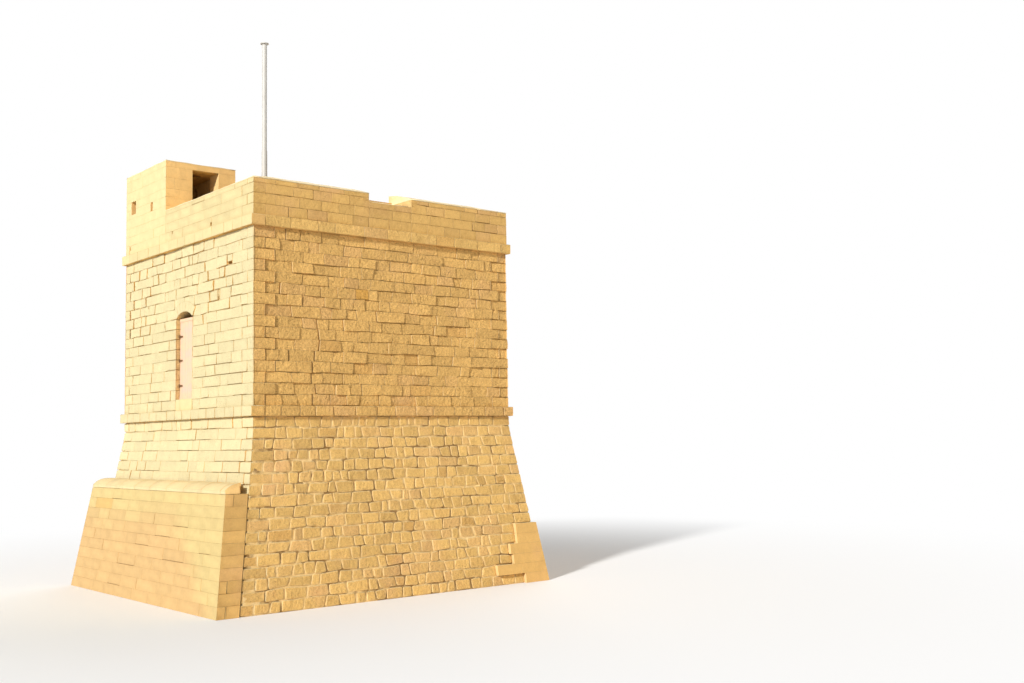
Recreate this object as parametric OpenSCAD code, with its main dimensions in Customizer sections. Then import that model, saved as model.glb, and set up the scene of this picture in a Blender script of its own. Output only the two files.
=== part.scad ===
// Square stone watchtower of two storeys: battered foot with an apron, two squared cordons,
// high doorway, parapet with one embrasure, corner turret and mast.
// The origin is on the tower's axis at its lowest foot. -Y is the front, +X the right side.

/* [Body] */
// Width of the square body above the batter
body_w = 8250; // [7800:50:8800]
// Thickness of the upper storey's walls
wall_t = 1150; // [1120:10:1300]
// Thickness of the lower storey's walls, above the batter
base_wall_t = 1300; // [1200:10:1450]
// Thickness of both vaults at the crown and in their legs
vault_t = 300; // [240:10:360]

/* [Foot] */
// Height from the lowest foot to the underside of the lower cordon
base_h = 4740; // [4500:10:5000]
// Height of the upright courses under the lower cordon
upright_h = 370; // [280:10:600]
// How far the lowest foot stands out from the body
batter_run = 678; // [600:1:760]
// Height of the lower room's floor above the lowest foot
ground_floor_h = 1300; // [1100:10:1400]

/* [Cordons] */
// Height of the lower cordon
lower_cordon_h = 268; // [220:1:310]
// How far the lower cordon stands out from the body
lower_cordon_out = 95; // [60:1:130]
// Height of the upper cordon
upper_cordon_h = 280; // [230:1:320]
// How far the upper cordon stands out from the body
upper_cordon_out = 88; // [60:1:130]

/* [Upper storey] */
// Height of the walls between the cordons
storey_h = 4517; // [4300:1:4750]
// Height of the door's sill and the upper floor above the lower cordon
sill_h = 306; // [260:1:340]

/* [Doorway] */
// Offset of the doorway to the right of the tower's axis
door_x = 70; // [-200:10:300]
// Width of the doorway
door_w = 1036; // [900:1:1200]
// Height of the door leaf
leaf_h = 2243; // [2000:1:2400]
// Thickness of the door leaf
leaf_t = 55; // [40:1:70]
// Depth of the leaf's face behind the wall's face
leaf_recess = 115; // [90:1:200]
// Gap between the leaf and each jamb
leaf_gap = 6; // [4:1:10]
// Rise of the segmental arch over the leaf
arch_rise = 171; // [140:1:220]
// Depth of the arch's stones
arch_t = 285; // [240:1:330]
// Length of a hinge strap
strap_l = 170; // [120:10:400]
// Height of a hinge strap
strap_h = 46; // [36:1:60]
// Thickness of a hinge strap
strap_t = 8; // [6:1:12]
// Diameter of a hinge pintle
pintle_d = 30; // [24:1:36]
// Height of a hinge pintle
pintle_h = 96; // [80:1:120]
// Heights of the hinges above the sill
hinge_heights = [380, 1080, 1750]; // [300:10:1900]

/* [Parapet] */
// Height of the parapet's outer face above the upper cordon
parapet_h = 965; // [850:5:1100]
// Thickness of the right, back and left parapets
parapet_t = 1110; // [1000:10:1120]
// Thickness of the front parapet
front_parapet_t = 760; // [745:5:800]
// Width of the crest's outer slope
crest_run = 740; // [640:10:745]
// Rise of the crest's outer slope
crest_rise = 220; // [160:1:260]
// Further rise from the outer slope to the inner edge
crest_back_rise = 45; // [20:1:60]
// Thickness of the terrace's paving
deck_t = 80; // [60:1:100]

/* [Embrasure] */
// Width of the embrasure
embrasure_w = 1380; // [1200:10:1500]
// Offset of the embrasure's middle towards the back
embrasure_y = 0; // [-300:10:300]
// Depth of its sill below the crest's outer edge
embrasure_drop = 247; // [200:1:300]
// Rise of its sill from the outer to the inner face
embrasure_rise = 285; // [200:1:300]

/* [Turret] */
// Width of the turret along the front
turret_w = 2910; // [2700:10:3100]
// Depth of the turret along the left side
turret_d = 2170; // [2080:10:2400]
// Height of the turret above the upper cordon
turret_h = 2440; // [2300:10:2600]
// Thickness of the turret's closed walls
turret_wall_t = 400; // [320:10:440]
// Thickness of the turret's wall with the doorway
turret_door_wall_t = 580; // [500:10:620]
// Thickness of the turret's roof slab
turret_roof_t = 190; // [160:1:220]
// Distance from the front face to the turret's doorway
turret_door_y = 815; // [805:5:850]
// Width of the turret's doorway
turret_door_w = 812; // [740:1:860]
// Distance from the left face to the loophole
loophole_x = 400; // [300:10:500]
// Width of the loophole
loophole_w = 333; // [280:1:360]
// Height of the loophole's sill above the upper cordon
loophole_z = 1222; // [1150:1:1300]
// Height of the loophole
loophole_h = 389; // [340:1:430]
// Distance from the left face to the narrow slit
slit_x = 1834; // [1750:1:1850]
// Width of the narrow slit
slit_w = 152; // [120:1:170]
// Height of the narrow slit's sill above the upper cordon
slit_z = 1098; // [1050:1:1150]
// Height of the narrow slit
slit_h = 266; // [230:1:300]

/* [Apron] */
// How far the apron stands out from the battered foot
apron_t = 600; // [500:10:700]
// Height of the apron's top course above the lowest foot
apron_h = 2860; // [2600:10:3000]
// Height of the coping's outer edge
coping_nose = 80; // [60:1:110]
// Height of the coping against the wall
coping_rise = 257; // [220:1:290]
// Width of the coping's rounded slope
coping_run = 375; // [330:1:420]
// Width of the lost piece of coping beside the wall at the right end
coping_loss_w = 170; // [120:5:200]
// Length of the lost piece of coping
coping_loss_l = 300; // [200:10:400]

/* [Corner repair] */
// Height of one course of the new quoins
repair_course_h = 277; // [250:1:300]
// How far the new quoins stand out from the battered foot
repair_out = 86; // [60:1:110]
// Depth of the new quoins behind the battered foot's face
repair_depth = 350; // [300:10:400]
// Reach of each course past the body's corner, from the foot up
repair_reach = [110, 1095, 475, 560, 275, 275]; // [100:5:1200]

/* [Mast] */
// Distance from the right face to the mast
mast_from_right = 1975; // [1600:5:2300]
// Distance from the front face to the mast
mast_from_front = 1350; // [1150:5:1600]
// Height of the mast above the terrace
mast_h = 5105; // [4500:5:5600]
// Diameter of the mast
mast_d = 131; // [110:1:140]
// Wall of the mast's tube
mast_wall = 6; // [4:1:10]
// Height of the sleeve round the mast's foot
sleeve_h = 2100; // [1800:10:2400]
// Gap between the mast and its sleeve
sleeve_gap = 3; // [2:1:4]
// Wall of the sleeve
sleeve_wall = 8; // [6:1:10]
// Diameter of the sleeve's base plate
plate_d = 340; // [300:5:400]
// Thickness of the sleeve's base plate
plate_t = 20; // [15:1:30]
// Diameter of the mast's cap
cap_d = 234; // [200:1:260]
// Thickness of the mast's cap
cap_t = 18; // [14:1:24]

/* [Hidden] */
$fn = 96;

half = body_w / 2;
// Long enough for any cutting block to pass right through the tower
span = 2 * body_w;
// How far a cutter runs past the piece that it opens
past = 10;
batter = batter_run / (base_h - upright_h);

// Levels, from the lowest foot up
storey_z = base_h + lower_cordon_h;
sill_z = storey_z + sill_h;
spring_z = sill_z + leaf_h;
roof_z = storey_z + storey_h;
terrace_z = roof_z + upper_cordon_h;
deck_z = terrace_z + deck_t;
crest_z = terrace_z + parapet_h;
turret_top_z = terrace_z + turret_h;
turret_roof_z = turret_top_z - turret_roof_t;

// Inner faces of the walls, measured from the tower's axis
base_inner = half - base_wall_t;
wall_inner = half - wall_t;
parapet_inner = half - parapet_t;
front_parapet_inner = half - front_parapet_t;

// Doorway: jambs, arch radius and arch centre
door_left = door_x - door_w / 2;
door_right = door_x + door_w / 2;
arch_r = (pow(door_w / 2, 2) + pow(arch_rise, 2)) / (2 * arch_rise);
arch_centre_z = spring_z + arch_rise - arch_r;
arch_angle = asin(door_w / 2 / arch_r);
leaf_y = -half + leaf_recess;

// Turret: faces towards the terrace, and the doorway's jambs
turret_right = -half + turret_w;
turret_back_y = -half + turret_d;
turret_jamb_near = -half + turret_door_y;
turret_jamb_far = turret_jamb_near + turret_door_w;
turret_wall_h = turret_roof_z - terrace_z;

// Apron: its outer face at the foot, and the coping's rounding
apron_foot_y = -half - batter_run - apron_t;
coping_r = (pow(coping_run, 2) + pow(coping_rise - coping_nose, 2))
    / (2 * (coping_rise - coping_nose));

mast_x = half - mast_from_right;
mast_y = -half + mast_from_front;
sleeve_inner_d = mast_d + 2 * sleeve_gap;
sleeve_d = sleeve_inner_d + 2 * sleeve_wall;

old_stone = [0.86, 0.69, 0.43];
new_stone = [0.91, 0.75, 0.50];
pale_stone = [0.95, 0.86, 0.62];
rubble = [0.70, 0.58, 0.40];
paint_pink = [0.88, 0.74, 0.64];
iron = [0.25, 0.20, 0.16];
white_paint = [0.93, 0.93, 0.92];

// Runs a profile, drawn as depth and height, along the X axis
module along_x(length) {
    rotate([90, 0, 90])
        linear_extrude(length, center = true)
            children();
}

// Runs a profile, drawn as width and height, along the Y axis
module along_y(length) {
    rotate([90, 0, 0])
        linear_extrude(length, center = true)
            children();
}

// Block between two opposite corners
module block(low, high) {
    translate(low)
        cube(high - low);
}

// Cutting block for one side of a ring of walls: front and back keep the corners
module side_block(side, inner, z, height) {
    if (side == "front")
        block([-span, -span, z], [span, -inner, z + height]);
    if (side == "back")
        block([-span, inner, z], [span, span, z + height]);
    if (side == "right")
        block([inner, -inner, z], [span, inner, z + height]);
    if (side == "left")
        block([-span, -inner, z], [-inner, inner, z + height]);
}

// One side of an upright ring of walls, or of a cordon that stands out
module ring_side(side, thickness, out, z, height) {
    edge = half + out;
    intersection() {
        block([-edge, -edge, z], [edge, edge, z + height]);
        side_block(side, half - thickness, z, height);
    }
}

// Profile of the battered foot, moved out by a given amount
module foot_profile(out) {
    foot = half + batter_run + out;
    top = half + out;
    bend_z = base_h - upright_h;
    polygon([
        [-foot, 0], [foot, 0], [top, bend_z], [top, base_h],
        [-top, base_h], [-top, bend_z]]);
}

// Whole foot of the tower as one battered block
module foot_form(out) {
    intersection() {
        along_x(span)
            foot_profile(out);
        along_y(span)
            foot_profile(out);
    }
}

// New quoins at the right back corner, toothed along both faces
module repair_form() {
    difference() {
        intersection() {
            foot_form(repair_out);
            for (i = [0 : len(repair_reach) - 1]) {
                reach = half - repair_reach[i];
                z = i * repair_course_h;
                block([reach, reach, z], [span, span, z + repair_course_h]);
            }
        }
        foot_form(-repair_depth);
    }
}

// One battered side of the foot, cut out where the new quoins sit
module scarp(side) {
    color(old_stone)
        difference() {
            intersection() {
                foot_form(0);
                side_block(side, base_inner, 0, base_h);
            }
            repair_form();
        }
}

module foundation_core() {
    color(rubble)
        block([-base_inner, -base_inner, 0], [base_inner, base_inner, ground_floor_h]);
}

module corner_repair() {
    color(new_stone)
        repair_form();
}

// Profile between the battered foot and the apron's own battered face
module apron_profile(low_z, high_z) {
    polygon([
        [apron_foot_y + batter * low_z, low_z],
        [apron_foot_y + batter * high_z, high_z],
        [apron_foot_y + apron_t + batter * high_z, high_z],
        [apron_foot_y + apron_t + batter * low_z, low_z]]);
}

module apron() {
    color(new_stone)
        intersection() {
            along_x(span)
                apron_profile(0, apron_h);
            along_y(span)
                foot_profile(0);
        }
}

// Coping profile: upright nose, quarter rounding, then level to the wall
module coping_profile() {
    nose_y = apron_foot_y + batter * apron_h;
    centre = [nose_y + coping_run, apron_h + coping_rise - coping_r];
    intersection() {
        apron_profile(apron_h, apron_h + coping_rise);
        union() {
            translate(centre)
                circle(coping_r);
            translate([centre[0], apron_h])
                square([apron_t, coping_rise]);
        }
    }
}

module apron_coping() {
    wall_y = apron_foot_y + apron_t + batter * (apron_h + coping_rise);
    end_x = half + batter * (base_h - upright_h - apron_h);
    color(pale_stone)
        difference() {
            intersection() {
                along_x(span)
                    coping_profile();
                along_y(span)
                    foot_profile(0);
            }
            block([end_x - coping_loss_l, wall_y - coping_loss_w, 0],
                [span, span, span]);
        }
}

module lower_cordon(side) {
    color(old_stone)
        ring_side(side, base_wall_t, lower_cordon_out, base_h, lower_cordon_h);
}

module upper_cordon(side) {
    color(new_stone)
        ring_side(side, wall_t, upper_cordon_out, roof_z, upper_cordon_h);
}

// Barrel vault on upright legs, running from front to back, level on top
module barrel_vault(inner, floor_z, top_z) {
    clear = inner - vault_t;
    vault_spring_z = top_z - vault_t - clear;
    along_y(2 * inner)
        difference() {
            translate([-inner, floor_z])
                square([2 * inner, top_z - floor_z]);
            translate([-clear, 0])
                square([2 * clear, vault_spring_z]);
            translate([0, vault_spring_z])
                circle(clear);
        }
}

module lower_vault() {
    color(rubble)
        barrel_vault(base_inner, ground_floor_h, storey_z);
}

module upper_floor() {
    color(rubble)
        block([-wall_inner, -wall_inner, storey_z], [wall_inner, wall_inner, sill_z]);
}

module roof_vault() {
    color(rubble)
        barrel_vault(wall_inner, sill_z, terrace_z);
}

// Ring of the door's arch between two splayed skewbacks
module arch_form() {
    outer_r = arch_r + arch_t;
    side_l = 2 * outer_r;
    translate([door_x, -half + wall_t / 2, arch_centre_z])
        along_y(wall_t)
            intersection() {
                difference() {
                    circle(outer_r);
                    circle(arch_r);
                }
                polygon([
                    [0, 0],
                    [-side_l * sin(arch_angle), side_l * cos(arch_angle)],
                    [side_l * sin(arch_angle), side_l * cos(arch_angle)]]);
            }
}

// Front wall between two upright lines, from a given level to the upper cordon
module front_wall_block(left, right, z) {
    block([left, -half, z], [right, -wall_inner, roof_z]);
}

module front_wall_left() {
    color(old_stone)
        difference() {
            front_wall_block(-half, door_left, storey_z);
            arch_form();
        }
}

module front_wall_right() {
    color(old_stone)
        difference() {
            front_wall_block(door_right, half, storey_z);
            arch_form();
        }
}

module front_wall_over_door() {
    color(old_stone)
        difference() {
            front_wall_block(door_left, door_right, spring_z);
            translate([door_x, -half, arch_centre_z])
                along_y(span)
                    circle(arch_r + arch_t);
        }
}

module door_sill() {
    color(pale_stone)
        block([door_left, -half, storey_z], [door_right, -wall_inner, sill_z]);
}

module door_arch() {
    color(new_stone)
        arch_form();
}

module door_leaf() {
    color(paint_pink)
        block([door_left + leaf_gap, leaf_y, sill_z],
            [door_right - leaf_gap, leaf_y + leaf_t, spring_z]);
}

// Strap on the leaf's face, and a pintle held by a short lug on the jamb
module hinge(z) {
    pintle_x = door_left + pintle_d;
    pintle_y = leaf_y - pintle_d / 2;
    low_z = z - strap_h / 2;
    high_z = z + strap_h / 2;
    round_x = pintle_x + strap_l - strap_h / 2;
    block([pintle_x, leaf_y - strap_t, low_z], [round_x, leaf_y, high_z]);
    translate([round_x, leaf_y, z])
        rotate([90, 0, 0])
            cylinder(d = strap_h, h = strap_t);
    block([door_left, pintle_y - strap_t / 2, low_z],
        [pintle_x, pintle_y + strap_t / 2, high_z]);
    translate([pintle_x, pintle_y, z - pintle_h / 2])
        cylinder(d = pintle_d, h = pintle_h);
}

module door_hinges() {
    color(iron)
        for (h = hinge_heights)
            hinge(sill_z + h);
}

module plain_wall(side) {
    color(old_stone)
        ring_side(side, wall_t, 0, storey_z, storey_h);
}

// Terrace inside the parapets, and the turret's floor with its doorway
module deck_outline() {
    terrace_w = 2 * parapet_inner;
    terrace_d = front_parapet_inner + parapet_inner;
    room = [turret_w - turret_wall_t - turret_door_wall_t, turret_d - 2 * turret_wall_t];
    difference() {
        translate([-parapet_inner, -front_parapet_inner])
            square([terrace_w, terrace_d]);
        translate([-half, -half])
            square([turret_w, turret_d]);
    }
    translate([-half + turret_wall_t, -half + turret_wall_t])
        square(room);
    translate([turret_right - turret_door_wall_t, turret_jamb_near])
        square([turret_door_wall_t, turret_door_w]);
}

module roof_deck() {
    color(pale_stone)
        translate([0, 0, terrace_z])
            linear_extrude(deck_t)
                deck_outline();
}

// Profile of the tower's crest: both edges slope up from the outer faces
module crest_profile() {
    bend = half - crest_run;
    bend_z = crest_z + crest_rise;
    top_z = bend_z + crest_back_rise;
    polygon([
        [-half, terrace_z], [half, terrace_z], [half, crest_z], [bend, bend_z],
        [parapet_inner, top_z], [-parapet_inner, top_z], [-bend, bend_z], [-half, crest_z]]);
}

// Crest hipped at its four corners, cut down to one stretch of parapet
module parapet(low, high) {
    intersection() {
        along_x(span)
            crest_profile();
        along_y(span)
            crest_profile();
        block([low[0], low[1], terrace_z], [high[0], high[1], span]);
    }
}

module parapet_front() {
    color(new_stone)
        parapet([turret_right, -half], [half, -front_parapet_inner]);
}

module parapet_right_near() {
    color(new_stone)
        parapet([parapet_inner, -front_parapet_inner], [half, embrasure_y - embrasure_w / 2]);
}

module parapet_right_far() {
    color(new_stone)
        parapet([parapet_inner, embrasure_y + embrasure_w / 2], [half, parapet_inner]);
}

module parapet_back() {
    color(new_stone)
        parapet([-half, parapet_inner], [half, half]);
}

module parapet_left() {
    color(new_stone)
        parapet([-half, turret_back_y], [-parapet_inner, parapet_inner]);
}

module embrasure_sill() {
    outer_z = crest_z - embrasure_drop;
    color(new_stone)
        translate([0, embrasure_y, 0])
            along_y(embrasure_w)
                polygon([
                    [parapet_inner, terrace_z], [half, terrace_z],
                    [half, outer_z], [parapet_inner, outer_z + embrasure_rise]]);
}

// Turret wall between two corners in plan, from the terrace to the roof slab
module turret_wall(low, high) {
    block([low[0], low[1], terrace_z], [high[0], high[1], turret_roof_z]);
}

// Opening through the turret's front wall
module front_opening(x, width, z, height) {
    block([-half + x, -span, terrace_z + z],
        [-half + x + width, -half + turret_wall_t + past, terrace_z + z + height]);
}

module turret_front() {
    color(new_stone)
        difference() {
            turret_wall([-half, -half],
                [turret_right - turret_door_wall_t, -half + turret_wall_t]);
            front_opening(loophole_x, loophole_w, loophole_z, loophole_h);
            front_opening(slit_x, slit_w, slit_z, slit_h);
        }
}

module turret_left() {
    color(new_stone)
        turret_wall([-half, -half + turret_wall_t],
            [-half + turret_wall_t, turret_back_y - turret_wall_t]);
}

module turret_back() {
    color(new_stone)
        turret_wall([-half, turret_back_y - turret_wall_t],
            [turret_right - turret_door_wall_t, turret_back_y]);
}

module turret_right_near() {
    color(new_stone)
        turret_wall([turret_right - turret_door_wall_t, -half],
            [turret_right, turret_jamb_near]);
}

module turret_right_far() {
    color(new_stone)
        turret_wall([turret_right - turret_door_wall_t, turret_jamb_far],
            [turret_right, turret_back_y]);
}

module turret_roof() {
    color(pale_stone)
        block([-half, -half, turret_roof_z], [turret_right, turret_back_y, turret_top_z]);
}

// Places a piece on the terrace at the mast's foot
module at_mast(z) {
    translate([mast_x, mast_y, deck_z + z])
        children();
}

module mast_socket() {
    color(white_paint)
        at_mast(0) {
            cylinder(d = plate_d, h = plate_t);
            translate([0, 0, plate_t])
                difference() {
                    cylinder(d = sleeve_d, h = sleeve_h);
                    translate([0, 0, -past])
                        cylinder(d = sleeve_inner_d, h = sleeve_h + 2 * past);
                }
        }
}

module mast() {
    color(white_paint)
        at_mast(plate_t)
            difference() {
                cylinder(d = mast_d, h = mast_h - plate_t);
                translate([0, 0, -past])
                    cylinder(d = mast_d - 2 * mast_wall, h = mast_h + 2 * past);
            }
}

module mast_cap() {
    color(white_paint)
        at_mast(mast_h)
            cylinder(d = cap_d, h = cap_t);
}

foundation_core();
scarp("front");  // scarp_front
scarp("right");  // scarp_right
scarp("back");  // scarp_back
scarp("left");  // scarp_left
corner_repair();
apron();
apron_coping();
lower_cordon("front");  // lower_cordon_front
lower_cordon("right");  // lower_cordon_right
lower_cordon("back");  // lower_cordon_back
lower_cordon("left");  // lower_cordon_left
lower_vault();
upper_floor();
front_wall_left();
front_wall_right();
front_wall_over_door();
door_sill();
door_arch();
door_leaf();
door_hinges();
plain_wall("right");  // right_wall
plain_wall("back");  // back_wall
plain_wall("left");  // left_wall
roof_vault();
upper_cordon("front");  // upper_cordon_front
upper_cordon("right");  // upper_cordon_right
upper_cordon("back");  // upper_cordon_back
upper_cordon("left");  // upper_cordon_left
roof_deck();
parapet_front();
parapet_right_near();
parapet_right_far();
embrasure_sill();
parapet_back();
parapet_left();
turret_front();
turret_left();
turret_back();
turret_right_near();
turret_right_far();
turret_roof();
mast_socket();
mast();
mast_cap();
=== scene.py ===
import math
import random
from collections import namedtuple
from contextlib import contextmanager
from operator import attrgetter

import bpy
import numpy as np
from bpy.props import FloatProperty, FloatVectorProperty, PointerProperty
from bpy.types import Operator, Panel, PropertyGroup
from mathutils import Matrix, Vector, noise


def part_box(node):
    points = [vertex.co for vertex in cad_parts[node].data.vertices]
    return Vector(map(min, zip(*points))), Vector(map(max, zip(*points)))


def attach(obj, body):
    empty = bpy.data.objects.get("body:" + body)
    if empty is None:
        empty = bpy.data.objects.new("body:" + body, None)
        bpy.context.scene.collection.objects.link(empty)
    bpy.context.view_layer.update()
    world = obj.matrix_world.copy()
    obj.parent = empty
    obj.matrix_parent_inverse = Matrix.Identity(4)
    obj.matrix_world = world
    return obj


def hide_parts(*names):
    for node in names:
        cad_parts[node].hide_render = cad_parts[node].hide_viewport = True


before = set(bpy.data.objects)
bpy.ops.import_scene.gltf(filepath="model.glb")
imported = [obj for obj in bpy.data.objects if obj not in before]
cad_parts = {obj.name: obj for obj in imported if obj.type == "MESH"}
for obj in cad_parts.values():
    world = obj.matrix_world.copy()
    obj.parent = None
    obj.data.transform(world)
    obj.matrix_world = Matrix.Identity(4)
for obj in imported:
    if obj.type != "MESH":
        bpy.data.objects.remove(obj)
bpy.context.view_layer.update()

bl_info = {
    "name": "Square Coastal Watchtower",
    "version": (1, 0, 0),
    "blender": (4, 5, 0),
    "location": "View3D > Sidebar > Watchtower",
    "description": "Stonework, door, mast and stage of a square coastal watchtower",
    "category": "Object",
}

# Distance within which a point counts as lying on a plane
TOUCH = 1e-4

# Angle below which an edge between two faces is shaded smooth
SMOOTH_BELOW = math.radians(42)


def low(node):
    """Lowest corner of a CAD node"""
    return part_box(node)[0]


def high(node):
    """Highest corner of a CAD node"""
    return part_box(node)[1]


def corners_on(node, axis, value):
    """Corners of a CAD node that lie on one plane"""
    points = [vertex.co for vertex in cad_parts[node].data.vertices]
    return [point for point in points if abs(point[axis] - value) < TOUCH]


# Plan and levels, read from the frame
FRONT, RIGHT, BACK, LEFT = range(4)
SIDES = ("front", "right", "back", "left")
HALF = high("right_wall").x
FOOT = high("scarp_front").x
BEND_Z = min(point.z for point in corners_on("scarp_front", 0, HALF))
BATTER = (FOOT - HALF) / BEND_Z
SCARP_TOP = low("lower_cordon_front").z
STOREY_Z = low("right_wall").z
ROOF_Z = high("right_wall").z
TERRACE_Z = high("upper_cordon_front").z
DECK_Z = high("roof_deck").z
CREST_Z = max(point.z for point in corners_on("parapet_front", 1, -HALF))
TURRET_TOP = high("turret_roof").z
TURRET_EAVES = low("turret_roof").z

# Doorway and its arch
SILL_Z = low("door_leaf").z
SPRING_Z = high("door_leaf").z
DOOR_LEFT = low("door_sill").x
DOOR_RIGHT = high("door_sill").x
DOOR_X = (DOOR_LEFT + DOOR_RIGHT) / 2
ARCH_RISE = 0.171
ARCH_R = ((DOOR_RIGHT - DOOR_X) ** 2 + ARCH_RISE ** 2) / (2 * ARCH_RISE)
ARCH_CENTRE = SPRING_Z + ARCH_RISE - ARCH_R
ARCH_T = high("door_arch").z - SPRING_Z - ARCH_RISE
ARCH_ANGLE = math.asin((DOOR_RIGHT - DOOR_X) / ARCH_R)

# Parapets and embrasure
PARAPET_INNER = low("parapet_right_near").x
FRONT_INNER = high("parapet_front").y
NOTCH_NEAR = high("parapet_right_near").y
NOTCH_FAR = low("parapet_right_far").y
NOTCH_OUTER_Z = max(point.z for point in corners_on("embrasure_sill", 0, HALF))
NOTCH_INNER_Z = high("embrasure_sill").z

# Turret
TURRET_RIGHT = high("turret_right_near").x
TURRET_BACK = high("turret_back").y
TURRET_JAMB_NEAR = high("turret_right_near").y
TURRET_JAMB_FAR = low("turret_right_far").y
TURRET_ROOM_LEFT = high("turret_left").x
TURRET_ROOM_RIGHT = low("turret_right_near").x
TURRET_ROOM_FRONT = high("turret_front").y

# Apron
APRON_T = -low("apron").y - FOOT
APRON_TOP = high("apron").z
COPING_TOP = high("apron_coping").z

# The coping's height at its front edge, the depth of its rounded part, the length of its
# stones, and the length and depth that are lost at its right end
COPING_NOSE = 0.080
COPING_RUN = 0.375
COPING_STONE = 1.05
COPING_LOST = (0.300, 0.170)

# Height of one course of the new quoins, and their reach past the body's corner
REPAIR_COURSE = 0.277
REPAIR_REACH = (0.110, 1.095, 0.475, 0.560, 0.275, 0.275)
REPAIR_OUT = high("corner_repair").x - FOOT
REPAIR_DEPTH = 0.350

# Lengths of the corner stones, which are long and short by turns
Bond = namedtuple("Bond", "long short")
BODY_BOND = Bond(0.62, 0.34)
APRON_BOND = Bond(0.95, 0.55)
TURRET_BOND = Bond(0.40, 0.26)
FAR_BOND = Bond(0.30, 0.18)

# Depth of the corner stones at the turret's right back corner
FAR_QUOIN = 0.26

# Depth at which some of the apron's corner stones are parted, and number of its rough courses
APRON_PARTED = 0.22
APRON_ROUGH = 3

# Reach of the courses into the turret's doorway, which cuts them back
INTO_DOORWAY = 0.1

# Depths of stones: with only a face to show, in the apron, over the arch and beside the
# embrasure, beside other openings, and in the arch and the sill
FACE_DEPTH = 0.16
THIN_DEPTH = 0.20
JAMB_DEPTH = 0.34
ARCH_DEPTH = 0.50

# Depth of the cordons' stones, and length of those at the front's and the back's ends
CORDON_DEPTH = 0.38
CORDON_CORNER = 0.55

# Course lines of the parapets, above the terrace's level, and of the turret
PARAPET_COURSES = (0, 0.285, 0.553, 0.812)
TURRET_COURSES = PARAPET_COURSES + (1.098, 1.364, 1.611, 1.930)

# Upright joints on the embrasure's sides, as depths behind the parapet's outer face
CHEEK_JOINTS = (0, 0.42, 0.74, HALF - PARAPET_INNER)

# Half the width of the courses' gap over the arch, as a share of the arch ring's
SKEWBACK = 0.92

# Number of stones in the arch's ring, and over it up to the next course line
ARCH_STONES = 7
OVER_ARCH_STONES = 4

# Length of the sill's left stone
SILL_STONE = 0.27

# Heights of the hinges above the sill
HINGES = (0.380, 1.080, 1.750)

# Extra width of a joint that the weather has washed out, and of one in a crack
WASHED = 0.013
CRACKED = 0.018

# Least height over which a gap cuts into a course, and least size of a stone beside it
LEAST_CUT = 0.04
LEAST_STONE = 0.05

# Rim of the lime capping above the parapets' stones
CAP_LIP = 0.028

# Cracks in the upper walls, as courses and places along them
CRACKS = {
    "front": ((14, -3.10), (14, -2.57)),
    "right": ((0, -2.42), (1, -2.33), (2, -2.46), (3, -2.44), (4, -2.36), (5, -2.22),
              (6, -2.24), (7, -2.28)),
}

# Lowest of the front wall's weathered courses
FIRST_WEATHERED = 8

# A darker stone of the right wall and one of the apron, as places on their faces
DARK_STONE = (-1.10, 7.98)
DARK_APRON_STONE = (-2.80, 2.43)

# The smooth quoin near the foot of the upper storey's front right corner
SMOOTH_QUOIN = (HALF - 0.1, STOREY_Z + 0.42)


def masonry_settings(class_name, text, **sizes):
    """Settings of one kind of masonry, with the defaults given"""
    words = {
        "course": ("Course height", "Usual height of a course"),
        "shortest": ("Shortest stone", "Length of the shortest stone in a course"),
        "longest": ("Longest stone", "Length of the longest stone in a course"),
        "joint": ("Joint", "Width of the joints"),
        "edge": ("Edge rounding", "Rounding of each stone's edges"),
        "corner": ("Corner rounding", "Rounding of each stone's outline"),
        "relief": ("Relief", "Depth of the hollows in a stone's face"),
        "sink": ("Set back", "How far a stone may lie behind the wall's face"),
        "slant": ("Slant", "How far an upright joint may lean"),
        "bed": ("Mortar depth", "Depth of the mortar behind the wall's face"),
        "opened": ("Open joints", "Share of the stones with a washed-out joint"),
    }
    fields = {}
    for key, size in sizes.items():
        name, description = words[key]
        unit = "NONE" if key == "opened" else "LENGTH"
        fields[key] = FloatProperty(
            name=name, description=description + " in " + text, default=size, unit=unit)
    return type(class_name, (PropertyGroup,), {"__annotations__": fields})


ScarpSettings = masonry_settings(
    "ScarpSettings", "the battered foot", course=0.279, shortest=0.20, longest=0.56,
    joint=0.013, edge=0.012, corner=0.046, relief=0.024, sink=0.012, slant=0.030, bed=0.029,
    opened=0.22)
DressedSettings = masonry_settings(
    "DressedSettings", "the front", course=0.281, shortest=0.42, longest=1.05,
    joint=0.001, edge=0.003, corner=0.014, relief=0.018, sink=0.010, slant=0.005, bed=0.036,
    opened=0.28)
WeatheredSettings = masonry_settings(
    "WeatheredSettings", "the front's weathered courses", course=0.281, shortest=0.22,
    longest=0.80, joint=0.002, edge=0.005, corner=0.026, relief=0.030, sink=0.034, slant=0.018,
    bed=0.064, opened=0.42)
WallSettings = masonry_settings(
    "WallSettings", "the upper walls", course=0.282, shortest=0.28, longest=0.84,
    joint=0.001, edge=0.006, corner=0.022, relief=0.040, sink=0.055, slant=0.020, bed=0.090,
    opened=0.14)
AshlarSettings = masonry_settings(
    "AshlarSettings", "the parapets", course=0.285, shortest=0.50, longest=0.86,
    joint=0.006, edge=0.004, corner=0.012, relief=0.010, sink=0.003, slant=0.003, bed=0.020,
    opened=0.16)
SmoothSettings = masonry_settings(
    "SmoothSettings", "the turret, the apron and the new quoins", course=0.285, shortest=0.62,
    longest=1.15, joint=0.001, edge=0.002, corner=0.006, relief=0.005, sink=0.001,
    slant=0.002, bed=0.018, opened=0.05)
CordonSettings = masonry_settings(
    "CordonSettings", "the lower cordon", course=0.27, shortest=0.45, longest=0.78,
    joint=0.008, edge=0.014, corner=0.036, relief=0.042, sink=0.020, slant=0.006, bed=0.058,
    opened=0.15)
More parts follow.
